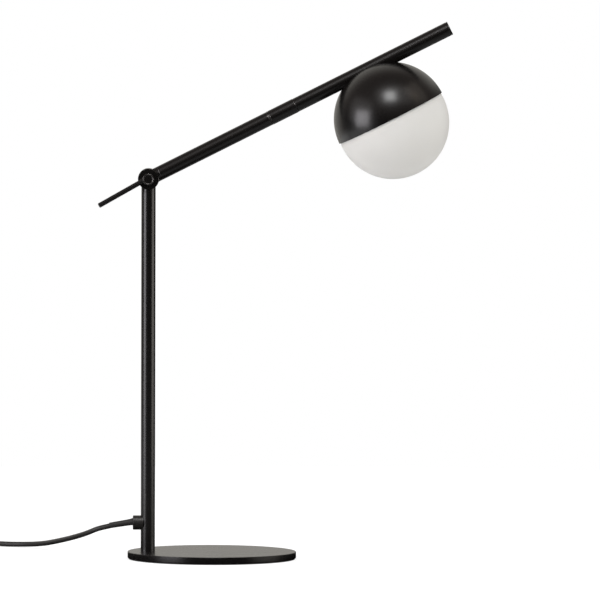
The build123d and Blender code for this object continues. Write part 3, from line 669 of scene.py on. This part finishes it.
@dataclass
class Stand:
    """Base, pole and the cord's outlet."""

    bench: Bench
    base_radius: float = 75 * MM
    base_low: float = 1.0 * MM
    base_top: float = 6.7 * MM
    base_round: float = 0.5 * MM
    base_sides: int = 192
    pad_inset: float = 1.0 * MM
    pad_sides: int = 128
    pole_x: float = -57.0 * MM
    pole_radius: float = 6.35 * MM
    pole_wall: float = 1.0 * MM
    pole_low: float = 5.5 * MM
    pole_high: float = 327.2 * MM
    edge: float = 0.25 * MM
    gland_face: Vector = field(default_factory=lambda: Vector((-70.35, 0, 32.8)) * MM)
    sleeve_dip: float = 9.3
    sleeve_sides: int = 48
    sleeve_rings: tuple[Pair, ...] = (
        (2.4, -3.0), (3.3, -3.0), (3.3, -0.1), (3.2, 0.4), (2.98, 1.6), (2.84, 4.0),
        (2.74, 8.0), (2.66, 13.0), (2.6, 18.0), (2.55, 20.8), (2.5, 21.0), (2.4, 21.0))

    def build(self) -> None:
        """Builds the stand's pieces."""
        bench = self.bench
        base = bench.turn("base", [(self.base_radius, self.base_low), (self.base_radius, self.base_top)],
                          self.base_sides, soften=self.base_round)
        bench.dress(base, Body.STAND, Slot.COAT, "base_plate")
        pad_radius = self.base_radius - self.pad_inset
        pad = bench.turn("foot_mat", [(pad_radius, 0), (pad_radius, self.base_low)], self.pad_sides,
                         soften=self.edge)
        bench.dress(pad, Body.STAND, Slot.RUBBER, "base_pad")
        inner = self.pole_radius - self.pole_wall
        pole = bench.turn("pole", [
            (self.pole_radius, self.pole_low), (self.pole_radius, self.pole_high), (inner, self.pole_high),
            (inner, self.pole_low)], hollow=True, soften=self.edge)
        bench.place(pole, Matrix.Translation((self.pole_x, 0, 0)))
        bench.dress(pole, Body.STAND, Slot.COAT, "pole_tube")
        bench.copy_of("cord_gland", "gland", self.edge, Body.STAND, Slot.PLASTIC)
        sleeve = bench.turn("cord_sleeve", in_metres(self.sleeve_rings), self.sleeve_sides, hollow=True)
        dip = math.radians(self.sleeve_dip)
        bench.place(sleeve, along(Vector((-math.cos(dip), 0, -math.sin(dip))), self.gland_face))
        bench.dress(sleeve, Body.STAND, Slot.RUBBER, "strain_relief")
        bench.keep(Slot.STEEL, "base_screw", "pole_foot")
        bench.keep(Slot.SHEATH, "pole_lead")


@dataclass
class TiltJoint:
    """The two halves of the tilt joint, its cap nut and its clamp lever."""

    bench: Bench
    tilt: TiltFrame
    edge: float = 0.25 * MM
    screw_rings: tuple[Pair, ...] = (
        (3.0, 8.25), (3.0, -6.45), (5.0, -6.45), (5.0, -13.05), (3.95, -13.05), (3.95, -12.55))
    # The screw's rim rounding shows unpainted metal: a painted highlight ring, partly wear.
    screw_rim: float = 0.3 * MM
    screw_wear_and_highlight: float = 0.4
    lever_radius: float = 2.2 * MM
    lever_rise: float = 1.25 * MM
    lever_root: float = 1.5 * MM
    lever_reach: float = 50.0 * MM
    lever_drop: float = 29.65
    lever_y: float = -9.75 * MM
    lever_round: float = 0.9 * MM
    lever_sides: int = 48

    def build(self) -> None:
        """Builds the joint's pieces."""
        bench = self.bench
        for node, name, body in (("pole_knuckle", "pole_lap_half", Body.STAND),
                                 ("arm_knuckle", "arm_lap_half", Body.ARM),
                                 ("pivot_nut", "cap_nut", Body.ARM)):
            bench.copy_of(node, name, self.edge, body, Slot.COAT)
        bench.keep(Slot.STEEL, "friction_washer")
        screw = bench.turn("clamp_screw", in_metres(self.screw_rings), soften=self.screw_rim,
                           wear_and_highlight=self.screw_wear_and_highlight)
        bench.place(screw, along(Vector((0, 1, 0)), self.tilt.origin))
        bench.dress(screw, Body.LEVER, Slot.COAT, "lever_boss")
        lever = bench.turn("lever", [
            (self.lever_radius, self.lever_root), (self.lever_radius, self.lever_reach)], self.lever_sides,
            soften=self.lever_round)
        drop = math.radians(self.lever_drop)
        line = Vector((-math.cos(drop), 0, -math.sin(drop)))
        root = Vector((-self.lever_rise * math.sin(drop), self.lever_y, self.lever_rise * math.cos(drop)))
        bench.place(lever, along(line, self.tilt.origin + root))
        bench.dress(lever, Body.LEVER, Slot.COAT, "lever_rod")


@dataclass
class Arm:
    """The arm's two tubes and the swivel between them."""

    bench: Bench
    tilt: TiltFrame
    radius: float = 6.35 * MM
    bore: float = 5.35 * MM
    edge: float = 0.45 * MM
    edge_share: float = 0.36
    neck: float = 11.0 * MM
    seam: float = 119.9 * MM
    washer: float = 1.3 * MM
    gap: float = 0.1 * MM
    collar_radius: float = 6.55 * MM
    collar_bore: float = 4.05 * MM
    collar_length: float = 25.0 * MM
    collar_spigot: float = 10.0 * MM
    spigot_radius: float = 5.3 * MM
    reach: float = 299.5 * MM
    plug_face: float = 1.5 * MM
    plug_spigot: float = 8.0 * MM
    # The swivel's edges show unpainted metal: painted highlight lines at the seams, partly wear.
    tube_wear_and_highlight: float = 0.35
    ring_wear_and_highlight: float = 0.2
    sleeve_wear_and_highlight: float = 0.3

    def build(self) -> None:
        """Builds the arm's pieces."""
        bench = self.bench
        collar_start = self.seam + self.washer + self.gap
        collar_end = collar_start + self.collar_length
        tube_end = self.reach - self.plug_face
        self._tube("arm_near_tube", self.radius, self.bore, self.neck, self.seam, Body.ARM, "arm_tube_inner",
                   self.tube_wear_and_highlight)
        self._tube("swivel_ring", self.collar_radius, self.collar_bore, self.seam, self.seam + self.washer,
                   Body.ARM, "swivel_washer", self.ring_wear_and_highlight)
        self._tube("arm_far_tube", self.radius, self.bore, collar_end, tube_end, Body.HEAD, "arm_tube_outer")
        spigot_end = collar_end + self.collar_spigot
        collar = bench.turn("swivel_sleeve", [
            (self.collar_radius, collar_start), (self.collar_radius, collar_end),
            (self.spigot_radius, collar_end), (self.spigot_radius, spigot_end),
            (self.collar_bore, spigot_end), (self.collar_bore, collar_start)],
            hollow=True, soften=self.edge, wear_and_highlight=self.sleeve_wear_and_highlight)
        bench.dress(bench.place(collar, self.tilt.bar()), Body.HEAD, Slot.COAT, "swivel_collar")
        plug = bench.turn("arm_tip", [
            (self.spigot_radius, tube_end - self.plug_spigot), (self.spigot_radius, tube_end),
            (self.radius, tube_end), (self.radius, self.reach)], soften=self.edge)
        bench.dress(bench.place(plug, self.tilt.bar()), Body.HEAD, Slot.COAT, "arm_end_plug")
        bench.keep(Slot.STEEL, "swivel_spindle", "spindle_clip", "stop_pin")
        bench.keep(Slot.SHEATH, "arm_lead", "head_lead")

    def _tube(self, name: str, outer: float, inner: float, low: float, high: float, body: Body, node: str,
              wear_and_highlight: float = 0.0) -> None:
        """Builds one tube along the arm.

        Args:
            name: The piece's name.
            outer: Outer radius.
            inner: Inner radius.
            low: Near end.
            high: Far end.
            body: The body it moves with.
            node: The CAD node it stands for.
            wear_and_highlight: How much of its edges shows unpainted metal: partly wear, partly a painted
                highlight.
        """
        # A short ring takes a smaller rounding
        soften = min(self.edge, self.edge_share * (high - low))
        tube = self.bench.turn(name, [(outer, low), (outer, high), (inner, high), (inner, low)], hollow=True,
                               soften=soften, wear_and_highlight=wear_and_highlight)
        self.bench.dress(self.bench.place(tube, self.tilt.bar()), body, Slot.COAT, node)


@dataclass
class Head:
    """The domed cap, the opal globe and what holds them."""

    bench: Bench
    tilt: TiltFrame
    reach: float = 216.5 * MM
    globe_radius: float = 50.0 * MM
    globe_wall: float = 2.5 * MM
    globe_drop: float = 4.7 * MM
    rim_rise: float = 1.0 * MM
    rim_gap: float = 0.33 * MM
    cap_wall: float = 0.8 * MM
    cap_edge: float = 0.2 * MM
    arm_sunk: float = 2.0 * MM
    mouth_height: float = -13.15 * MM
    notch_radius: float = 6.45 * MM
    notch_sides: int = 96
    segments: int = 192

    @property
    def cap_radius(self) -> float:
        """Outer radius of the cap."""
        rim = math.sqrt(self.globe_radius**2 - self.globe_drop**2) + self.rim_gap
        return math.hypot(rim, self.rim_rise) + self.cap_wall

    @property
    def cap_centre(self) -> float:
        """Height of the middle of the cap's ball from the arm's line."""
        return self.arm_sunk - self.cap_radius

    def build(self) -> None:
        """Builds the head's pieces."""
        bench = self.bench
        bench.dress(self._cap(), Body.HEAD, Slot.COAT, "shade_cap")
        bench.dress(self._globe(), Body.HEAD, Slot.OPAL, "opal_globe")
        bench.keep(Slot.STEEL, "saddle_boss", "holder_nipple", "nipple_nut", "globe_carrier", "globe_clips",
                   "bulb_pins")
        bench.keep(Slot.RUBBER, "globe_gasket")
        bench.keep(Slot.HOLDER, "lampholder", "bulb_base")
        bench.keep(Slot.BRASS, "holder_contacts")
        bench.keep(Slot.BULB, "bulb_envelope")

    def _ball(self, name: str, radius: float) -> Piece:
        """Starts a piece from a ball.

        Args:
            name: The piece's name.
            radius: The ball's radius.

        Returns:
            The ball.
        """
        self.bench.clear()
        bpy.ops.mesh.primitive_uv_sphere_add(segments=self.segments, ring_count=self.segments // 2,
                                             radius=radius)
        return self.bench.named(name)

    def _cap(self) -> Piece:
        """Builds the cap with the notch in which the arm lies.

        Returns:
            The cap in its place.
        """
        bench = self.bench
        cap = self._ball("cap", self.cap_radius)
        bench.halve(cap, self.rim_rise, keep_top=True, fill=False)
        bench.thicken(cap, self.cap_wall)
        bench.soften(cap, self.cap_edge)
        bench.clear()
        through = 4 * self.cap_radius
        bpy.ops.mesh.primitive_cylinder_add(
            vertices=self.notch_sides, radius=self.notch_radius, depth=through,
            location=(0, 0, -self.cap_centre), rotation=(0, math.pi / 2, 0))
        bench.cut(cap, bench.named("notch_tool"))
        return bench.place(cap, self.tilt.head(self.reach, self.cap_centre))

    def _globe(self) -> Piece:
        """Builds the globe, open at the top inside the cap.

        Returns:
            The globe in its place.
        """
        bench = self.bench
        centre = self.cap_centre + self.rim_rise - self.globe_drop
        globe = self._ball("globe", self.globe_radius)
        bench.halve(globe, self.mouth_height - centre, keep_top=False, fill=False)
        bench.thicken(globe, self.globe_wall)
        bench.soften(globe, self.cap_edge)
        return bench.place(globe, self.tilt.head(self.reach, centre))


@dataclass
class MainsLead:
    """The mains lead with its coil, tie, switch and plug. The points of its route are in millimetres."""

    bench: Bench
    radius: float = 2.3 * MM
    length: float = 1.8
    front: tuple[Triple, ...] = (
        (-67.39, 0.0, 33.28), (-97.98, 0.0, 28.28), (-111.0, 9.0, 21.9), (-122.0, 29.0, 17.1),
        (-132.0, 54.0, 12.8), (-142.0, 81.0, 8.7), (-153.0, 107.0, 4.9), (-169.0, 126.0, 2.8),
        (-193.0, 135.5, 2.45), (-211.0, 138.2, 4.8), (-228.0, 139.0, 8.1), (-244.0, 139.0, 8.1))
    link: tuple[Triple, ...] = (
        (-296.0, 139.0, 8.1), (-312.0, 139.0, 8.1), (-334.0, 139.0, 3.45), (-347.4, 139.0, 3.45))
    tail: tuple[Triple, ...] = (
        (-380.75, 105.65, 18.45), (-380.75, 90.25, 18.45), (-380.75, 70.25, 6.95), (-380.75, 55.25, 6.95))
    coil_x: float = -352.0 * MM
    coil_y: float = 110.25 * MM
    coil_low: float = 3.45 * MM
    coil_outer: float = 28.75 * MM
    coil_pitch: float = 5.0 * MM
    coil_turns: float = 9.25
    coil_layers: int = 4
    coil_climb: float = 0.1
    points_per_turn: int = 16
    steps_per_point: int = 6
    steps_per_quarter: int = 5
    curve_order: int = 3
    tie_wall: float = 0.6 * MM
    tie_round: float = 2.0 * MM
    tie_steps: int = 6
    end_facing: float = 0.9
    switch_end_share: float = 0.498
    switch_end_steps: int = 16
    switch_round: float = 3.0 * MM
    switch_round_steps: int = 5
    switch_seam: float = 0.25 * MM
    seam_steps: int = 2
    window_width: float = 11.4 * MM
    rocker_play: float = 0.2 * MM
    rocker_round: float = 0.4 * MM
    plug_round: float = 0.6 * MM
    pin_round: float = 0.3 * MM
    insulation_round: float = 0.1 * MM

    def build(self) -> None:
        """Builds the lead and what is on it."""
        on_lead = [*self._switch(), *self._plug(), self._tie()]
        lead = self._lead()
        2 * self.radius
        LOG.info("lead declared with %d pieces", len(on_lead))

    def _coil(self) -> list[Vector]:
        """Works out the coil's turns, layer on layer, winding in and out by turns.

        Returns:
            Control points from the coil's start to its end.
        """
        steps = round(self.coil_turns * self.points_per_turn)
        wide = 1 / math.cos(math.pi / self.points_per_turn)
        layer_turns = self.coil_turns / self.coil_layers
        points = []
        for step in range(steps + 1):
            turns = step / self.points_per_turn
            layer = min(int(turns / layer_turns), self.coil_layers - 1)
            within = turns - layer * layer_turns
            shift = self.coil_pitch * (within if layer % 2 == 0 else layer_turns - within)
            reach = (self.coil_outer - shift) * wide
            rise = self._rise(turns / layer_turns)
            angle = math.pi / 2 + 2 * math.pi * turns
            points.append(Vector((
                self.coil_x + reach * math.cos(angle), self.coil_y + reach * math.sin(angle),
                self.coil_low + self.coil_pitch * rise)))
        return points

    def _rise(self, layers: float) -> float:
        """Height of the coil in layers: level, with a gentle climb where it turns back.

        Args:
            layers: How many layers have been wound.

        Returns:
            The height above the lowest layer, in layers.
        """
        nearest = min(max(round(layers), 1), self.coil_layers - 1)
        share = min(max((layers - nearest) / (2 * self.coil_climb) + 0.5, 0.0), 1.0)
        return nearest - 1 + (1 - math.cos(math.pi * share)) / 2

    def _lead(self) -> Piece:
        """Lays the whole lead as one smooth line.

        Returns:
            The lead.
        """
        points = [Vector(point) * MM for point in (*self.front, *self.link)]
        points += self._coil()
        points += [Vector(point) * MM for point in self.tail]
        curve = bpy.data.curves.new("mains_lead", "CURVE")
        curve.dimensions = "3D"
        curve.bevel_depth = self.radius
        curve.bevel_resolution = self.steps_per_quarter
        curve.resolution_u = self.steps_per_point
        curve.use_fill_caps = True
        spline = curve.splines.new("NURBS")
        spline.points.add(len(points) - 1)
        for knot, point in zip(spline.points, points):
            knot.co = (*point, 1.0)
        spline.order_u = self.curve_order
        spline.use_endpoint_u = True
        spline.use_smooth = True
        lead = bpy.data.objects.new("mains_lead", curve)
        bpy.context.scene.collection.objects.link(lead)
        return self.bench.dress(lead, Body.STAND, Slot.SHEATH, "cord_front", "cord_link", "cord_coil",
                                "cord_tail", smooth=False)

    def _tie(self) -> Piece:
        """Builds the band round the coil.

        Returns:
            The band.
        """
        bench = self.bench
        low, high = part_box("coil_tie")
        tie = bench.block("coil_band", high - low, (low + high) / 2)
        bench.round_edges(tie, 1, self.tie_round, self.tie_steps)
        bench.pick(tie)
        bench.edit("FACE")
        bpy.ops.mesh.select_all(action="DESELECT")
        mesh = bmesh.from_edit_mesh(tie.data)
        for face in mesh.faces:
            face.select_set(abs(face.normal.y) > self.end_facing)
        bmesh.update_edit_mesh(tie.data)
        bpy.ops.mesh.delete(type="FACE")
        bench.leave()
        bench.thicken(tie, self.tie_wall)
        return bench.dress(tie, Body.STAND, Slot.RUBBER, "coil_tie")

    def _switch(self) -> list[Piece]:
        """Builds the switch's two halves and its rocker.

        Returns:
            The pieces.
        """
        bench = self.bench
        low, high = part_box("switch_base")[0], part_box("switch_cover")[1]
        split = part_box("switch_cover")[0].z
        middle = (low + high) / 2
        halves = []
        for name, node, keep_top in (("switch_floor", "switch_base", False),
                                     ("switch_lid", "switch_cover", True)):
            half = bench.block(name, high - low, middle)
            bench.round_edges(half, 2, self.switch_end_share * (high.y - low.y), self.switch_end_steps)
            bench.soften(half, self.switch_round, self.switch_round_steps)
            bench.halve(half, split, keep_top=keep_top, fill=True)
            if keep_top:
                rocker_low, rocker_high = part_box("switch_rocker")
                window = (rocker_high.x - rocker_low.x + 2 * self.rocker_play, self.window_width,
                          2 * (high.z - split))
                bench.cut(half, bench.block("window_tool", window, (middle.x, middle.y, high.z)))
            bench.soften(half, self.switch_seam, self.seam_steps)
            halves.append(bench.dress(half, Body.STAND, Slot.PLASTIC, node))
        bench.keep(Slot.STEEL, "switch_screws")
        return [*halves, self._rocker(), frame["nodes"]["switch_screws"]]

    def _rocker(self) -> Piece:
        """Builds the rocker."""
        return self.bench.copy_of("switch_rocker", "rocker", self.rocker_round, Body.ROCKER, Slot.PLASTIC)

    def _plug(self) -> list[Piece]:
        """Builds the plug's body, its pins and their sleeves.

        Returns:
            The pieces.
        """
        return [self.bench.copy_of(node, name, width, Body.STAND, slot) for node, name, width, slot in (
            ("plug_body", "plug", self.plug_round, Slot.PLASTIC),
            ("plug_pins", "pins", self.pin_round, Slot.PIN),
            ("pin_sleeves", "pin_insulation", self.insulation_round, Slot.PLASTIC))]


@dataclass(frozen=True)
class Softbox:
    """A studio light that shines on the lamp from one side."""

    name: str
    towards: Triple
    distance: float
    width: float
    height: float
    power: float
    colour: Triple = WHITE
    on_matt: bool = True

    def hang(self, target: Vector) -> None:
        """Hangs the light so that it faces the target.

        Args:
            target: What it shines at.
        """
        light = bpy.data.lights.new(self.name, "AREA")
        light.shape = "RECTANGLE"
        light.size = self.width
        light.size_y = self.height
        light.energy = self.power
        light.color = self.colour
        lamp = bpy.data.objects.new(self.name, light)
        bpy.context.scene.collection.objects.link(lamp)
        direction = Vector(self.towards).normalized()
        lamp.location = target + direction * self.distance
        lamp.rotation_euler = direction.to_track_quat("Z", "Y").to_euler()
        lamp.visible_camera = False
        lamp.visible_diffuse = self.on_matt


@dataclass
class Studio:
    """Floor, surroundings, lights and camera.

    Levels are of light, and a pair of levels goes from low to high. The floor's pairs, in metres, and those
    of the surroundings, in shares of a direction, say where a change starts and ends. The lights' target is
    in millimetres.
    """

    floor_radius: float = 1.2
    floor_sides: int = 96
    floor_albedo: float = 0.85
    floor_white: float = 0.6
    floor_shaded: float = 0.45
    floor_mirrored: float = 0.36
    floor_far_mirrored: float = 0.12
    # Painted light and shade on the floor, seen only in reflections: a bright patch on the left and painted
    # shade near the lamp.
    floor_painted_light: float = 0.9
    floor_painted_shade: Pair = (0.18, 0.28)
    floor_far: Pair = (0.5, 0.9)
    floor_painted_light_from: Pair = (0.25, 0.60)
    origin_pixel: Pair = (211.7, 558.98)
    roll: float = 0.1575
    lens: float = 720.0
    sensor: float = 36.0
    elevation: float = 3.14
    ambient: float = 0.92
    front_level: Pair = (0.005, 0.20)
    front_rise: Pair = (-0.03, 0.38)
    front_tint: Triple = (1.0, 0.84, 0.78)
    sky_level: float = 0.65
    sky_tint: Triple = (1.0, 0.965, 0.89)
    sky_slant: float = 0.7
    sky_rise: Pair = (-0.13, 0.09)
    sky_back: Pair = (0.2, 0.75)
    light_target: Triple = (80.0, 0.0, 300.0)
    lights: tuple[Softbox, ...] = (
        Softbox("left_box", (-0.86, -0.51, 0.075), 2.0, 1.1, 1.0, 20.5, (0.99, 0.96, 1.0)),
        Softbox("left_soft_box", (-0.88, -0.35, 0.32), 2.2, 2.0, 1.5, 5.7, (1.0, 0.97, 0.95), on_matt=False),
        Softbox("top_box", (0.0, -0.63, 0.78), 2.0, 0.65, 0.65, 15.5),
        Softbox("top_soft_box", (0.10, -0.58, 0.80), 2.2, 2.6, 1.4, 7.3, (1.0, 0.97, 0.95), on_matt=False),
        Softbox("right_box", (0.985, -0.17, -0.057), 2.2, 1.78, 0.65, 10.9, (1.0, 0.95, 0.88)),
        Softbox("warm_box", (0.65, -0.18, 0.69), 2.2, 1.3, 1.3, 3.2, (1.0, 0.90, 0.80), on_matt=False),
        Softbox("warm_core", (0.65, -0.30, 0.69), 2.2, 0.5, 0.5, 0.5, (1.0, 0.80, 0.60), on_matt=False),
    )

    @property
    def distance(self) -> float:
        """Distance at which the photograph's frame takes in the lamp at its real size."""
        return PHOTO_PIXELS * PHOTO_PIXEL_SIZE * self.lens / self.sensor

    def build(self) -> None:
        """Builds the studio."""
        bpy.context.scene.view_settings.view_transform = "Standard"
        self._floor()
        self._world()
        for light in self.lights:
            light.hang(Vector(self.light_target) * MM)
        self._camera()

    def _camera(self) -> None:
        """Sets the camera where the photograph was taken from."""
        tilt, roll = math.radians(self.elevation), math.radians(self.roll)
        middle = PHOTO_PIXELS / 2
        across = (middle - self.origin_pixel[0]) * PHOTO_PIXEL_SIZE
        rise = (self.origin_pixel[1] - middle) * PHOTO_PIXEL_SIZE
        x = across * math.cos(roll) - rise * math.sin(roll)
        z = (rise * math.cos(roll) + across * math.sin(roll)) / math.cos(tilt)
        data = bpy.data.cameras.new("camera")
        data.lens = self.lens
        data.sensor_width = self.sensor
        data.clip_end = 2 * self.distance
        camera = bpy.data.objects.new("camera", data)
        bpy.context.scene.collection.objects.link(camera)
        camera.location = (x, -self.distance * math.cos(tilt), z + self.distance * math.sin(tilt))
        turned = Matrix.Rotation(math.pi / 2 - tilt, 3, "X") @ Matrix.Rotation(roll, 3, "Z")
        camera.rotation_euler = turned.to_euler()
        bpy.context.scene.camera = camera

    def _floor(self) -> None:
        """Lays a plain pale floor that is white to the camera."""
        Bench.clear()
        bpy.ops.mesh.primitive_circle_add(vertices=self.floor_sides, radius=self.floor_radius,
                                          fill_type="NGON")
        floor = Bench.named("floor")
        material = bpy.data.materials.new("pale_floor")
        material.use_nodes = True
        board = Board(material.node_tree)
        straight, mirrored = self._rays(board)
        place = board.add("ShaderNodeTexCoord").outputs["Object"]
        away = board.signal("ShaderNodeVectorMath", "Value", {"operation": "LENGTH"}, {0: place})
        left = board.signal("ShaderNodeSeparateXYZ", "X", sockets={"Vector": place}) * -1.0
        # Mirrored rays see the floor glow: painted shade near the lamp, a painted bright patch on the left
        # that stands in for light from that side, and a dimmer grey far out.
        far = board.ramp(away, self.floor_far, self.floor_mirrored, self.floor_far_mirrored)
        level = (board.ramp(away, self.floor_painted_shade, 0.0, far)
                 + board.ramp(left, self.floor_painted_light_from, 0.0, self.floor_painted_light))
        matt = self._flat(board, "ShaderNodeBsdfDiffuse", self.floor_albedo)
        white = self._flat(board, "ShaderNodeEmission", self.floor_white)
        shaded = self._flat(board, "ShaderNodeBsdfDiffuse", self.floor_shaded)
        pale = board.add("ShaderNodeAddShader", sockets={0: white, 1: shaded}).outputs[0]
        mirror = board.add("ShaderNodeEmission", sockets={
            "Color": (*WHITE, 1.0), "Strength": level}).outputs[0]
        plain = board.add("ShaderNodeMixShader", sockets={0: straight, 1: matt, 2: pale}).outputs[0]
        mixed = board.add("ShaderNodeMixShader", sockets={0: mirrored, 1: plain, 2: mirror}).outputs[0]
        board.add("ShaderNodeOutputMaterial", sockets={"Surface": mixed})
        floor.data.materials.append(material)

    @staticmethod
    def _flat(board: Board, kind: str, level: float) -> bpy.types.NodeSocket:
        """A plain grey shader of one level."""
        return board.add(kind, sockets={"Color": (level, level, level, 1.0)}).outputs[0]

    @staticmethod
    def _rays(board: Board) -> tuple[Signal, Signal]:
        """Tells rays that show the background straight or through glass, and mirrored ones, from the rest.

        Args:
            board: The tree that asks.

        Returns:
            One for straight rays, and one for mirrored rays.
        """
        path = board.add("ShaderNodeLightPath")
        seen, through_glass, mirrored = (Signal(board, path.outputs[name]) for name in (
            "Is Camera Ray", "Is Transmission Ray", "Is Glossy Ray"))
        return seen.larger(through_glass), mirrored

    def _world(self) -> None:
        """Surrounds the lamp with soft light, white behind it and dark in front."""
        world = bpy.data.worlds.new("studio")
        bpy.context.scene.world = world
        world.use_nodes = True
        board = Board(world.node_tree)
        straight, mirrored = self._rays(board)
        direction = board.add("ShaderNodeTexCoord").outputs["Generated"]
        split = board.add("ShaderNodeSeparateXYZ", sockets={"Vector": direction})
        right, back, rise = (Signal(board, split.outputs[axis]) for axis in "XYZ")
        front = board.ramp(rise, self.front_rise, *self.front_level)
        sky = board.ramp(rise - right * self.sky_slant, self.sky_rise, front, self.sky_level)
        behind = board.ramp(back, self.sky_back, 0.0, 1.0)
        seen = front + (sky - front) * behind
        level = straight + mirrored * seen + (1 - straight.larger(mirrored)) * self.ambient
        tint = board.blend(mirrored, WHITE, board.blend(behind, self.front_tint, self.sky_tint))
        background = board.add("ShaderNodeBackground", sockets={"Color": tint, "Strength": level})
        board.add("ShaderNodeOutputWorld", sockets={"Surface": background.outputs[0]})


def main() -> None:
    """Builds the studio, then the lamp's pieces in order."""
    logging.basicConfig(level=logging.INFO)
    bench = Bench()
    tilt = TiltFrame.read()
    Studio().build()
    for part in (Stand(bench), TiltJoint(bench, tilt), Arm(bench, tilt), Head(bench, tilt), MainsLead(bench)):
        part.build()
        LOG.info("%s built", type(part).__name__)


if __name__ == "__main__":
    main()
